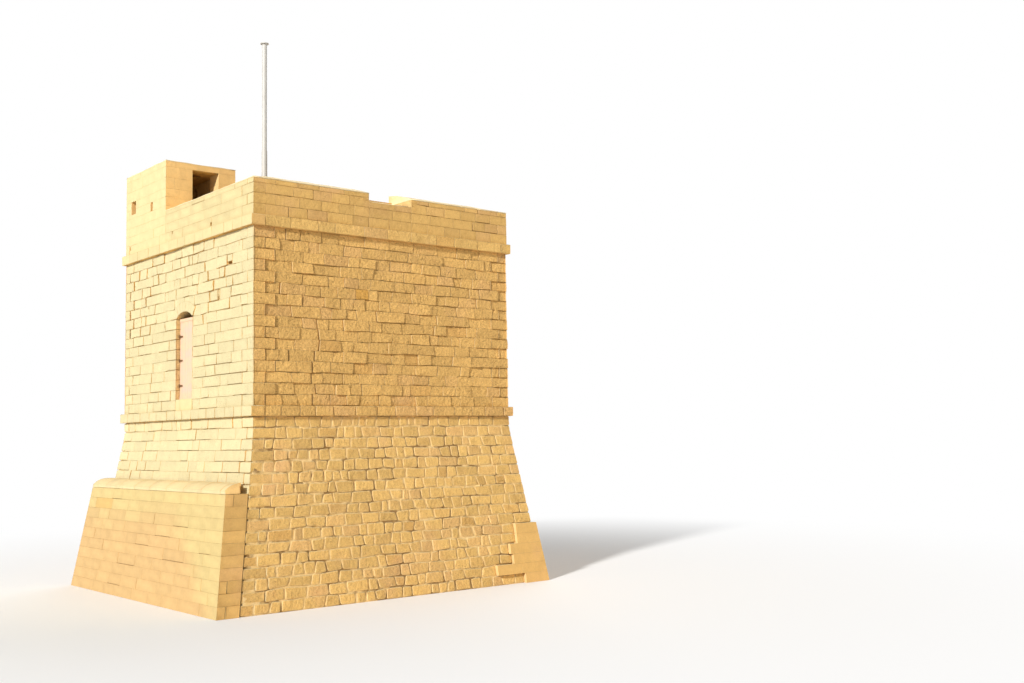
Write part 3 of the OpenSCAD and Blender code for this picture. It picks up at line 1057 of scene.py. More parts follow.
def painted_sunlight(surface):
    """Share of painted sunlight on a surface: faces turned to the front, fully on the front face
    and less further in, the doorway's reveals in part, and faces turned to the sky
    """
    facing = surface.split(surface.add("ShaderNodeTexCoord").outputs["Normal"])
    place = surface.split(surface.place)
    # Painted sunlight on faces turned to the front: full on the front face, 45 per cent further
    # in, where it paints highlights on the sides of stones and openings
    front = surface.times(surface.ramp(facing["Y"], -0.25, -0.85),
                          surface.ramp(place["Y"], 0.20 - HALF, 0.13 - HALF, 0.45, 1.0))
    # Painted sunlight on the doorway's reveals near the front
    aside = surface.maths("ABSOLUTE", surface.maths("SUBTRACT", place["X"], DOOR_X))
    reveal = surface.times(surface.ramp(aside, 0.60, 0.54, 0.0, 0.35),
                           surface.ramp(place["Y"], 0.50 - HALF, 0.40 - HALF))
    front = surface.maths("MAXIMUM", front, reveal)
    # Painted sunlight on faces turned to the sky
    return surface.maths("MAXIMUM", front, surface.ramp(facing["Z"], 0.4, 0.8, 0.0, 0.9))


def limestone(name, finish, base, pits, grain, varied, pale="painted_sunlit", paler_above=None,
              limed=0.0):
    """Weathered limestone: a hue for each stone, blotches, pits, dirt and painted shade at the
    joints, and painted sunlight on faces turned to the front and the sky

    The colour painted as sunlight on a front may turn paler from one course upwards, and towards
    the right. Lime from the joints may cover the stones' edges.
    """
    surface = Surface(name, 0.92, base=getattr(finish, base))
    marks = surface.split(
        surface.add("ShaderNodeAttribute", attribute_name="stone").outputs["Vector"])
    hue, shade, edge = marks["X"], marks["Y"], marks["Z"]
    blotch = surface.noise(4.0, 6.0, 0.65)
    broad = surface.noise(0.7, 3.0, 0.5)
    fine = surface.noise(34.0, 5.0, 0.7)
    # Share of painted sunlight: paler stone on faces turned to the front and the sky
    front = painted_sunlight(surface)

    def less_where_painted_sunlit(value, share):
        """Value that falls to a share of itself where sunlight is painted on the stone"""
        return surface.times(value, surface.ramp(front, 0.0, 1.0, 1.0, share))

    # Hues of whole stones, blotches, painted sunlight and the marked dark stones
    surface.cover(surface.ramp(shade, 0.80, 0.97, 0.0, 0.30 * varied), finish.rosy)
    surface.cover(surface.ramp(shade, 0.05, 0.01, 0.0, 0.45 * varied), finish.amber)
    surface.cover(surface.ramp(blotch, 0.48, 0.74, 0.0, 0.32 * varied), finish.amber)
    surface.cover(surface.ramp(broad, 0.52, 0.75, 0.0, 0.35), finish.rosy)
    pale = linear(getattr(finish, pale))
    if paler_above:
        place = surface.split(surface.place)
        level = surface.maths("SNAP", place["Z"], APRON_TOP / 10)
        level = surface.plus(level, surface.ramp(place["X"], 1.4, 5.2, 0.0, 2.4))
        level = surface.plus(level, surface.times(hue, 0.25))
        pale = surface.mix(surface.ramp(level, paler_above - 0.6, paler_above + 0.35), pale,
                           linear(finish.buff))
    # Painted sunlight: faces turned to the front and the sky take the paler colour
    surface.colour = surface.mix(surface.times(front, 0.9), surface.colour, pale)
    surface.cover(surface.ramp(shade, -0.4, -0.8, 0.0, 0.7), finish.golden)

    # Lightness: grit, each stone's own, and blotches
    grit = less_where_painted_sunlit(surface.ramp(fine, 0.30, 0.70, -0.15 * grain, 0.12 * grain), 0.4)
    own = surface.times(surface.maths("SUBTRACT", hue, 1.0), 0.22 * varied)
    own = less_where_painted_sunlit(own, 0.5)
    tone = surface.times(surface.plus(grit, 1.0), surface.plus(own, 1.02))
    tone = surface.times(tone, surface.ramp(blotch, 0.3, 0.7, 1.03, 0.95))
    grey = surface.add("ShaderNodeCombineColor", {0: tone, 1: tone, 2: tone}).outputs[0]
    surface.cover(1.0, grey, "MULTIPLY")

    # Dirt in pits, dirt and painted shade along each stone's rim beside the joints, and lime from
    # the joints
    some = surface.ramp(surface.noise(3.0, 3.0), 0.46, 0.62)
    pit = surface.times(surface.ramp(surface.noise(24.0, 2.0), 0.60, 0.72), some)
    surface.cover(surface.times(pit, pits * 0.30), finish.dirt_and_shade)
    # Painted shade with dirt: each stone darkens towards its rim, beside the joints
    surface.cover(surface.times(edge, 0.22 * varied * (1 - limed)), finish.dirt_and_shade)
    if limed:
        smear = surface.plus(edge, surface.ramp(surface.noise(9.0), 0.3, 0.7, -0.3, 0.3))
        smear = less_where_painted_sunlit(surface.ramp(smear, 0.15, 0.75, 0.0, limed), 0.2)
        surface.cover(smear, finish.mortar)

    height = surface.maths("SUBTRACT", surface.noise(12.0, 4.0, 0.54),
                           surface.times(pit, pits * 0.5))
    strength = surface.ramp(front, 0.0, 1.0, min(1.0, grain), min(1.0, grain) * 0.45)
    normal = surface.bump(height, strength, 0.029 * max(1.0, grain))
    return surface.finish(surface.bump(fine, grain * 0.6, 0.016, normal))


def mortar(name, finish, base, dirty):
    """Lime mortar, with dirt in its hollows, and painted sunlight on faces turned to the front
    and the sky
    """
    surface = Surface(name, 0.95, base=getattr(finish, base))
    front = painted_sunlight(surface)
    surface.cover(surface.ramp(surface.noise(4.0, 5.0), 0.35, 0.7, 0.0, 0.8), finish.scarp)
    # Painted sunlight: faces turned to the front and the sky take the paler colour
    surface.cover(surface.times(front, 0.8), finish.painted_sunlit)
    black = surface.ramp(surface.noise(1.8, 4.0), 0.44, 0.60, dirty * 0.15, dirty)
    # Less dirt where sunlight is painted
    surface.cover(surface.times(black, surface.ramp(front, 0.0, 1.0, 1.0, 0.7)), finish.dirt_and_shade)
    return surface.finish(surface.bump(surface.noise(28.0, 6.0), 0.6, 0.02))


def lime_capping(name, finish):
    """Smooth lime capping on tops of walls, with grey weather stains"""
    surface = Surface(name, 0.9, base=finish.capping)
    surface.cover(surface.ramp(surface.noise(1.6, 6.0), 0.45, 0.75, 0.0, 0.55), finish.ashlar)
    return surface.finish(surface.bump(surface.noise(22.0, 6.0), 0.45, 0.02))


def rough_rubble(name, finish):
    """Rough stone of the vaults, floors and core"""
    surface = Surface(name, 0.95, base=finish.rubble)
    cells = surface.add("ShaderNodeTexVoronoi", {
        "Vector": surface.place, "Scale": 3.4}, feature="DISTANCE_TO_EDGE").outputs["Distance"]
    joint = surface.ramp(cells, 0.06, 0.01)
    surface.cover(surface.ramp(surface.noise(2.5), 0.35, 0.7), finish.amber)
    surface.cover(joint, finish.mortar)
    height = surface.maths("SUBTRACT", surface.noise(12.0, 6.0), joint)
    return surface.finish(surface.bump(height, 0.6, 0.03))


def door_paint(name, finish):
    """Faded paint, worn along the grain"""
    surface = Surface(name, 0.62, 0.3, base=finish.door)
    grain = surface.noise(46.0, 6.0, 0.6, surface.upright(0.09))
    surface.cover(surface.ramp(surface.noise(3.0), 0.3, 0.7, 0.0, 0.35), finish.smooth)
    surface.cover(surface.ramp(grain, 0.60, 0.72, 0.0, 0.65), finish.bare_wood)
    return surface.finish(surface.bump(grain, 0.35, 0.004))


def rusty_iron(name, finish):
    """Dark iron with blooms of rust"""
    surface = Surface(name, 0.7, 0.4, 0.35, finish.iron)
    bloom = surface.ramp(surface.noise(34.0, 6.0), 0.42, 0.6)
    surface.cover(bloom, finish.rust)
    return surface.finish(surface.bump(surface.noise(90.0), 0.4, 0.002),
                          surface.ramp(bloom, 0.0, 1.0, 0.5, 0.9))


def mast_paint(name, finish):
    """White paint with thin rust runs"""
    surface = Surface(name, 0.42, 0.4, base=finish.white)
    run = surface.noise(30.0, 4.0, 0.6, surface.upright(0.05))
    surface.cover(surface.ramp(run, 0.66, 0.78, 0.0, 0.4), finish.rust)
    surface.cover(surface.ramp(surface.noise(2.0), 0.4, 0.8, 0.0, 0.12), finish.iron)
    return surface.finish(surface.bump(surface.noise(60.0), 0.1, 0.002))


# Each limestone's colour, the strength of its pits and its grain, how much its stones differ,
# and the colour that is painted as sunlight on its faces turned to the front and the sky
LIMESTONES = {
    "scarp": dict(base="scarp", pits=1.0, grain=1.0, varied=0.9, limed=0.35),
    "wall": dict(base="wall", pits=1.0, grain=1.5, varied=0.7),
    "ashlar": dict(base="ashlar", pits=0.5, grain=0.7, varied=0.8, pale="straw"),
    "smooth": dict(base="smooth", pits=0.1, grain=0.25, varied=0.25, pale="straw"),
    "repair": dict(base="repair", pits=0.2, grain=0.30, varied=0.25),
    "apron": dict(base="repair", pits=0.2, grain=0.35, varied=0.7, pale="apricot",
                  paler_above=2.25),
    "coping": dict(base="smooth", pits=0.3, grain=0.35, varied=0.6, pale="cream"),
    "cordon": dict(base="scarp", pits=0.8, grain=1.2, varied=0.7),
}
MORTARS = {
    "scarp_mortar": dict(base="mortar", dirty=0.8),
    "wall_mortar": dict(base="wall", dirty=0.45),
    "ashlar_mortar": dict(base="ashlar", dirty=0.8),
}


def make_materials(finish):
    for name, settings in LIMESTONES.items():
        MATERIALS[name] = limestone(name + "_limestone", finish, **settings)
    for name, settings in MORTARS.items():
        MATERIALS[name] = mortar(name, finish, **settings)
    MATERIALS.update({
        "capping": lime_capping("lime_capping", finish),
        "rubble": rough_rubble("inner_stone", finish),
        "door": door_paint("door_paint", finish),
        "iron": rusty_iron("rusty_iron", finish),
        "white": mast_paint("mast_paint", finish),
    })


def body_face(turns, battered=False):
    """Outer face of the tower's body, turned from the front by quarter turns"""
    return Face(turns, HALF, battered)


def outer_faces(battered=False):
    return [body_face(turns, battered) for turns in range(4)]


class TOWER_OT_scarp(Operator):
    """Builds the battered foot's stonework on all four sides"""
    bl_idname = "tower.scarp"
    bl_label = "Battered foot"

    def execute(self, context):
        scene = context.scene
        rubble, dressed, weathered = scene.tower_scarp, scene.tower_dressed, scene.tower_weathered
        levels = even_levels(0, SCARP_TOP, rubble.course)
        highest = len(levels) - 2
        behind_apron = [i for i in range(highest + 1) if levels[i + 1] < COPING_TOP - 0.03]
        repaired = range(len(REPAIR_REACH))
        for turns, side in enumerate(SIDES):
            stones = Masonry(100 + turns)
            face = body_face(turns, True)
            lefts = quoin_ends(face, levels, 1, -1)
            rights = quoin_ends(face, levels, 0, 1)
            for i, reach in enumerate(REPAIR_REACH):
                spread = face.spread((levels[i] + levels[i + 1]) / 2)
                if turns == RIGHT:
                    rights[i] = (HALF - reach) / spread
                if turns == BACK:
                    lefts[i] = (reach - HALF) / spread
            beds = bedded(rubble, outer_faces(True))
            if turns == FRONT:
                beds[FRONT] = (face, weathered.bed)
                lay_courses(stones, face, levels, lefts, rights, dressed, hidden=behind_apron,
                            weathered=weathered, worst=(highest,))
                lay_quoins(stones, body_face(LEFT, True), levels, rubble)
            else:
                lay_courses(stones, face, levels, lefts, rights, rubble)
            if turns == BACK:
                lay_quoins(stones, body_face(RIGHT, True), levels, rubble, hidden=repaired)
            if turns in (FRONT, BACK):
                lay_quoins(stones, face, levels, rubble)
            node = "scarp_" + side
            core = mortar_core(node, ["scarp_mortar"], beds, uneven=0.25)
            stones.build(node, "scarp", "weathered_stone", core)
        return {"FINISHED"}


class TOWER_OT_corner_repair(Operator):
    """Builds the new quoins at the right back corner"""
    bl_idname = "tower.corner_repair"
    bl_label = "New quoins"

    def execute(self, context):
        style = context.scene.tower_smooth
        stones = Masonry(151)
        outer = HALF + REPAIR_OUT
        right, back = Face(RIGHT, outer, True), Face(BACK, outer, True)
        for i, reach in enumerate(REPAIR_REACH):
            course = (i * REPAIR_COURSE, (i + 1) * REPAIR_COURSE)
            end, inner = ([self.along(right, place + BATTER * (BEND_Z - z), z) for z in course]
                          for place in (outer, HALF - REPAIR_DEPTH))
            start = [self.along(right, HALF - reach, z) for z in course]
            self.block(stones, right, course, start, end, style)
            self.block(stones, back, course, [-u for u in inner], [-u for u in start], style)
        stones.build("corner_repair", "repair", "dressed_stone")
        return {"FINISHED"}

    def along(self, face, place, z):
        """Place along the face, before it spreads with the batter"""
        return place / face.spread(z)

    def block(self, stones, face, course, start, end, style):
        """One or two blocks of a course"""
        count = 2 if end[0] - start[0] > 1.3 else 1
        for j in range(count):
            lefts, rights = ([s + (e - s) * k / count for s, e in zip(start, end)]
                             for k in (j, j + 1))
            quad = ((lefts[0], course[0]), (rights[0], course[0]),
                    (rights[1], course[1]), (lefts[1], course[1]))
            joint = style.joint / 2
            stones.add("corner", face, quad, REPAIR_DEPTH + REPAIR_OUT, style, sink=0.0,
                       trims=(0.001 if j == 0 else joint, 0 if j == count - 1 else joint,
                              joint, joint))


class TOWER_OT_apron(Operator):
    """Builds the apron before the foot, with its rounded coping"""
    bl_idname = "tower.apron"
    bl_label = "Apron"

    def execute(self, context):
        style = context.scene.tower_smooth
        stones = Masonry(163)
        face = Face(FRONT, HALF + APRON_T, True)
        levels = even_levels(0, APRON_TOP, style.course)
        joint = style.joint / 2
        lefts, rights = [], []
        for i, (bottom, top) in enumerate(zip(levels[:-1], levels[1:])):
            spread = face.spread((bottom + top) / 2)
            parts = [0, APRON_T]
            if i in (0, 2, len(levels) - 2):
                parts.insert(1, APRON_PARTED)
            for sign, turn, ends in ((-1, 1, lefts), (1, 0, rights)):
                inner = sign * (HALF - quoin(i, turn, APRON_BOND) / spread)
                ends.append(inner)
                quad = oblong(*sorted((inner, sign * HALF)), bottom, top)
                trims = (0, joint, joint, joint) if sign < 0 else (joint, 0, joint, joint)
                for near, far in zip(parts[:-1], parts[1:]):
                    stones.add("corner", face, quad, far - near - 0.006, style, front=near,
                               relief=3.0 if i < APRON_ROUGH else 1.0, trims=trims)
        lay_courses(stones, face, levels, lefts, rights, style, depth=THIN_DEPTH)
        stones.change(face, *DARK_APRON_STONE, shade=-0.6)
        beds = [(side, 2 * style.bed)
                for side in (face, body_face(RIGHT, True), body_face(LEFT, True))]
        core = mortar_core("apron", ["ashlar_mortar"], beds)
        stones.build("apron", "apron", "dressed_stone", core)
        self.coping(style)
        return {"FINISHED"}

    def coping(self, style):
        """Rounded stones along the apron's top, one short and narrow where a piece is lost"""
        full = COPING_TOP - APRON_TOP
        radius = (COPING_RUN ** 2 + (full - COPING_NOSE) ** 2) / (2 * (full - COPING_NOSE))

        def profile(depth):
            away = np.clip(COPING_RUN - depth, 0, COPING_RUN)
            return full - radius + np.sqrt(radius ** 2 - away ** 2)

        stones = Masonry(171)
        stand = BATTER * (BEND_Z - APRON_TOP)
        drop = BATTER * full
        face = Face(FRONT, HALF + APRON_T + stand)
        end = HALF + stand
        lost_length, lost_depth = COPING_LOST
        places = even_levels(-end, end - lost_length, COPING_STONE) + [end]
        last = len(places) - 2
        for j in range(last + 1):
            left, right = places[j], places[j + 1]
            depth = APRON_T - drop - 0.004 - (lost_depth if j == last else 0)
            quad = ((left, APRON_TOP), (right, APRON_TOP),
                    (right - drop if j == last else right, COPING_TOP),
                    (left + drop if j == 0 else left, COPING_TOP))
            stones.add("coping", face, quad, depth, style, sink=0.0, relief=2.0,
                       trims=(0.001 if j else 0, 0 if j == last else 0.001, 0.004, 0))
        stones.build("apron_coping", "coping", "pale_stone", profile=profile)


class TOWER_OT_cordons(Operator):
    """Builds the two squared cordons round the tower"""
    bl_idname = "tower.cordons"
    bl_label = "Cordons"

    def execute(self, context):
        scene = context.scene
        rows = (("lower", 200, scene.tower_cordon, ("wall", "wall")),
                ("upper", 210, scene.tower_upper_cordon, ("ashlar", "cordon")))
        for row, seed, style, (front_material, material) in rows:
            lowest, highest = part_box(row + "_cordon_front")
            edge_at = highest.x
            faces = [Face(turns, edge_at) for turns in range(4)]
            joint = style.joint / 2
            for turns, side in enumerate(SIDES):
                stones = Masonry(seed + turns)
                wear_share = 0.35 if turns == FRONT else 1.0
                inner = edge_at - (CORDON_CORNER if turns in (FRONT, BACK) else CORDON_DEPTH)
                places = split_course(stones.rng, -inner, inner, style, [])
                ends = list(zip(places[:-1], places[1:]))
                if turns in (FRONT, BACK):
                    ends += [(-edge_at, -inner), (inner, edge_at)]
                for left, right in ends:
                    trims = (joint if left > -edge_at else 0, joint if right < edge_at else 0,
                             0.001, 0.001)
                    stones.add("corner", faces[turns],
                               oblong(left, right, lowest.z, highest.z), CORDON_DEPTH, style,
                               relief=wear_share, trims=trims,
                               sink=wear_share * style.sink * stones.rng.random())
                node = row + "_cordon_" + side
                core = mortar_core(node, ["wall_mortar"], bedded(style, faces), pitch=0.4)
                stones.build(node, front_material if turns == FRONT else material,
                             "weathered_stone", core)
        return {"FINISHED"}


class TOWER_OT_walls(Operator):
    """Builds the upper storey's walls"""
    bl_idname = "tower.walls"
    bl_label = "Upper walls"

    def execute(self, context):
        scene = context.scene
        worn, dressed, weathered = scene.tower_wall, scene.tower_dressed, scene.tower_weathered
        levels = even_levels(STOREY_Z, ROOF_Z, worn.course)
        for turns, side in enumerate(SIDES):
            stones = Masonry(300 + turns)
            face = body_face(turns)
            nodes = [side + "_wall"]
            style, gaps, holes, worst = worn, (), (), ()
            beds = bedded(worn, outer_faces())
            if turns == FRONT:
                nodes = ["front_wall_left", "front_wall_right", "front_wall_over_door"]
                style = dressed
                holes = WALL_HOLES
                gaps = self.doorway_gaps(levels) + holes
                worst = range(FIRST_WEATHERED, len(levels))
                beds[FRONT] = (face, weathered.bed)
                beds += bedded(dressed, [Face(RIGHT, DOOR_LEFT), Face(LEFT, -DOOR_RIGHT)])
            lay_courses(stones, face, levels, quoin_ends(face, levels, 1, -1),
                        quoin_ends(face, levels, 0, 1), style, gaps, kind="worn",
                        cracks=CRACKS.get(side, ()), weathered=weathered, worst=worst)
            if turns == FRONT:
                lay_quoins(stones, body_face(LEFT), levels, style, relief=2.2)
                lay_quoins(stones, face, levels, style, relief=2.2)
                stones.change(face, *SMOOTH_QUOIN, relief=0.003, sink=0.0, shade=0.3)
                self.lay_over_arch(stones, face, levels, style)
            if turns == RIGHT:
                stones.change(face, *DARK_STONE, shade=-1.0)
            if turns == BACK:
                lay_quoins(stones, body_face(RIGHT), levels, worn)
                lay_quoins(stones, face, levels, worn)
            cores = [mortar_core(node, ["wall_mortar"], beds, holes=holes) for node in nodes]
            stones.build(side + "_wall", "wall", "weathered_stone",
                         join(cores, side + "_wall_core"), nodes)
        return {"FINISHED"}

    def doorway_gaps(self, levels):
        """The doorway, and the arch's skewbacks in the two courses above it"""
        spring = min(levels, key=lambda level: abs(level - SPRING_Z))
        above = levels.index(spring) + 1
        skew = SKEWBACK * (ARCH_R + ARCH_T) * math.sin(ARCH_ANGLE)
        return (
            Gap(STOREY_Z, spring, DOOR_LEFT, DOOR_LEFT, DOOR_RIGHT, DOOR_RIGHT),
            Gap(spring, levels[above], DOOR_LEFT, DOOR_X - skew, DOOR_RIGHT, DOOR_X + skew),
            Gap(levels[above], levels[above + 1], DOOR_X - skew, DOOR_X - skew,
                DOOR_X + skew, DOOR_X + skew))

    def lay_over_arch(self, stones, face, levels, style):
        """Stones between the arch's ring and the course line above it"""
        gap = self.doorway_gaps(levels)[2]
        outer = ARCH_R + ARCH_T
        count = OVER_ARCH_STONES
        for i in range(count):
            ends = [gap.left_low + (gap.right_low - gap.left_low) * (i + j) / count
                    for j in (0, 1)]
            feet = [max(gap.low, ARCH_CENTRE + math.sqrt(outer ** 2 - (u - DOOR_X) ** 2))
                    for u in ends]
            quad = (*zip(ends, feet), (ends[1], gap.high), (ends[0], gap.high))
            stones.add("face", face, quad, THIN_DEPTH, style)


class TOWER_OT_doorway(Operator):
    """Builds the sill, the arch, and the boarded leaf with its hinges"""
    bl_idname = "tower.doorway"
    bl_label = "Doorway"

    def execute(self, context):
        style = context.scene.tower_dressed
        face = body_face(FRONT)
        joint = style.joint / 2
        stones = Masonry(401)
        split = DOOR_LEFT + SILL_STONE
        for left, right in ((DOOR_LEFT, split), (split, DOOR_RIGHT)):
            stones.add("corner", face, oblong(left, right, STOREY_Z, SILL_Z), ARCH_DEPTH,
                       style, hue=0.1, trims=(joint, joint, joint, 0), relief=0.5)
        core = mortar_core("door_sill", ["wall_mortar"],
                           bedded(style, [face, Paving(SILL_Z)]))
        stones.build("door_sill", "smooth", "pale_stone", core)

        stones = Masonry(402)
        count = ARCH_STONES
        outer = ARCH_R + ARCH_T
        for i in range(count):
            turn = [ARCH_ANGLE * (1 - 2 * (i + j) / count) for j in (0, 1)]
            quad = [(DOOR_X - r * math.sin(a), ARCH_CENTRE + r * math.cos(a))
                    for r, a in ((ARCH_R, turn[0]), (ARCH_R, turn[1]),
                                 (outer, turn[1]), (outer, turn[0]))]
            stones.add("corner", face, quad, ARCH_DEPTH, style, relief=0.5, sink=0.002,
                       trims=(joint, joint, 0, 0))
        core = mortar_core("door_arch", ["wall_mortar"], bedded(style, [face]))
        stones.build("door_arch", "wall", "dressed_stone", core)
        self.leaf()
        self.rivets()
        return {"FINISHED"}

    def leaf(self):
        """Boards side by side on a backing, with a rail at the foot and along the top"""
        lowest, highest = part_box("door_leaf")
        boards, gap, rail_h, proud, edge = 6, 0.004, 0.09, 0.012, 0.004
        width = (highest.x - lowest.x) / boards
        pieces = []
        for i in range(boards):
            pieces.append(bevelled_box(
                "board", (lowest.x + i * width + gap / 2, lowest.y + proud, lowest.z),
                (lowest.x + (i + 1) * width - gap / 2, highest.y, highest.z), edge))
        pieces.append(bevelled_box(
            "backing", (lowest.x, lowest.y + 0.6 * (highest.y - lowest.y), lowest.z),
            (highest.x, highest.y - 0.001, highest.z - 0.001), 0.002))
        for z in (lowest.z, highest.z - rail_h):
            pieces.append(bevelled_box(
                "rail", (lowest.x, lowest.y, z), (highest.x, highest.y - 0.005, z + rail_h),
                edge))
        finish_fittings(pieces, "door_leaf_boards", "door", "door_paint", "door_leaf")

    def rivets(self):
        """Two domed rivets on each hinge strap"""
        lowest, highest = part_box("door_hinges")
        heads = [rivet((highest.x - inset, lowest.y, SILL_Z + height))
                 for height in HINGES for inset in (0.025, 0.100)]
        finish_fittings(heads, "hinge_rivets", "iron", "iron")


def finish_fittings(pieces, name, material, slot, *nodes):
    """Joins modelled objects into one piece, and gives it its material"""
    piece = join(pieces, name)
    piece.data.materials.append(MATERIALS[material])
    finish_piece(piece, slot, *nodes)


def bevelled_box(name, lowest, highest, edge):
    """Box between two corners with bevelled edges"""
    deselect()
    middle = [(a + b) / 2 for a, b in zip(lowest, highest)]
    bpy.ops.mesh.primitive_cube_add(size=1, location=middle)
    box = bpy.context.object
    box.name = name
    box.scale = [b - a for a, b in zip(lowest, highest)]
    bpy.ops.object.transform_apply(location=True, rotation=True, scale=True)
    with editing(box):
        bpy.ops.mesh.bevel(offset=edge, segments=2, affect="EDGES")
    return box


def rivet(place, radius=0.011):
    """Domed head standing out to the front"""
    deselect()
    bpy.ops.mesh.primitive_uv_sphere_add(segments=12, ring_count=6, radius=radius,
                                         location=place)
    head = bpy.context.object
    head.scale = (1, 0.5, 1)
    bpy.ops.object.transform_apply(location=True, rotation=True, scale=True)
    bpy.ops.object.shade_smooth()
    return head


def top_line(node, axis, value, height):
    """Points of a node's upper edge on one plane, across it, from its outer side inwards"""
    points = [point for point in corners_on(node, axis, value) if point.z > height]
    return sorted((HALF - abs(point[1 - axis]), point.z) for point in points)


class TOWER_OT_parapets(Operator):
    """Builds the parapets with their sloping crest and the embrasure"""
    bl_idname = "tower.parapets"
    bl_label = "Parapets"

    def execute(self, context):
        style = context.scene.tower_ashlar
        smooth = context.scene.tower_smooth
        steps = [TERRACE_Z + step for step in PARAPET_COURSES]
        levels = steps + [CREST_Z - CAP_LIP]
        front, right, back, left = outer_faces()
        starts, ends = ([quoin_ends(face, levels, turn, sign) for face in outer_faces()]
                        for turn, sign in ((1, -1), (0, 1)))
        inner = {turns: Face((turns + 2) % 4, -PARAPET_INNER) for turns in range(4)}
        inner[FRONT] = Face(BACK, FRONT_INNER)

        def lay(stones, face, *stretch):
            lay_courses(stones, face, levels, *stretch, style)

        stones = Masonry(501)
        lay_courses(stones, front, levels, TURRET_RIGHT, ends[FRONT], smooth, PARAPET_HOLES)
        lay_quoins(stones, front, levels, style)
        lay(stones, inner[FRONT], -PARAPET_INNER, -TURRET_RIGHT)
        self.wall(stones, style, "parapet_front", [inner[FRONT]], PARAPET_HOLES)

        stones = Masonry(502)
        lay(stones, right, starts[RIGHT], NOTCH_NEAR)
        lay(stones, inner[RIGHT], -NOTCH_NEAR, -FRONT_INNER)
        self.notched_wall(stones, style, "parapet_right_near", inner[RIGHT],
                          Face(BACK, NOTCH_NEAR), NOTCH_NEAR)

        stones = Masonry(503)
        lay(stones, right, NOTCH_FAR, ends[RIGHT])
        lay(stones, inner[RIGHT], -PARAPET_INNER, -NOTCH_FAR)
        self.notched_wall(stones, style, "parapet_right_far", inner[RIGHT],
                          Face(FRONT, -NOTCH_FAR), NOTCH_FAR)

        stones = Masonry(504)
        outer = [level for level in levels if level < NOTCH_OUTER_Z - 0.1]
        lay_courses(stones, right, outer + [NOTCH_OUTER_Z - 0.004], NOTCH_NEAR, NOTCH_FAR,
                    style)
        lay_courses(stones, inner[RIGHT], steps + [NOTCH_INNER_Z - 0.004], -NOTCH_FAR,
                    -NOTCH_NEAR, style)
        core = mortar_core("embrasure_sill", ["ashlar_mortar", "capping"],
                           bedded(style, [right, inner[RIGHT]]))
        stones.build("embrasure_sill", "ashlar", "dressed_stone", core)

        stones = Masonry(505)
        lay(stones, back, starts[BACK], ends[BACK])
        lay_quoins(stones, right, levels, style)
        lay_quoins(stones, back, levels, style)
        lay(stones, inner[BACK], -PARAPET_INNER, PARAPET_INNER)
        self.wall(stones, style, "parapet_back", [inner[BACK]])

        stones = Masonry(506)
        lay(stones, left, starts[LEFT], -TURRET_BACK)
        lay(stones, inner[LEFT], TURRET_BACK, PARAPET_INNER)
        self.wall(stones, style, "parapet_left", [inner[LEFT]])
        return {"FINISHED"}

    def notched_wall(self, stones, style, node, inner, cheek, y):
        """Finishes the wall on one side of the embrasure"""
        self.cheek(stones, cheek, node, y, style)
        self.wall(stones, style, node, [inner, cheek])

    def cheek(self, stones, face, node, y, style):
        """Stones on one side of the embrasure, between its sill and the crest"""
        crest = top_line(node, 1, y, CREST_Z - 0.001)
        sill = top_line("embrasure_sill", 1, y, NOTCH_OUTER_Z - 0.001)
        for near, far in zip(CHEEK_JOINTS[:-1], CHEEK_JOINTS[1:]):
            ends = [(HALF - near, near), (HALF - far, far)]
            if face.turns == BACK:
                ends = [(-x, depth) for x, depth in ends]
            ends.sort()
            heights = [[float(np.interp(depth, *zip(*line))) for _, depth in ends]
                       for line in (sill, crest)]
            quad = ((ends[0][0], heights[0][0]), (ends[1][0], heights[0][1]),
                    (ends[1][0], heights[1][1] - CAP_LIP), (ends[0][0], heights[1][0] - CAP_LIP))
            stones.add("face", face, quad, THIN_DEPTH, style)

    def wall(self, stones, style, node, inner_faces, holes=()):
        """Makes one parapet's piece, with lime capping on its sloping top"""
        core = mortar_core(node, ["ashlar_mortar", "capping"],
                           bedded(style, outer_faces() + inner_faces),
                           lip=CREST_Z - CAP_LIP, holes=holes)
        stones.build(node, "ashlar", "dressed_stone", core)


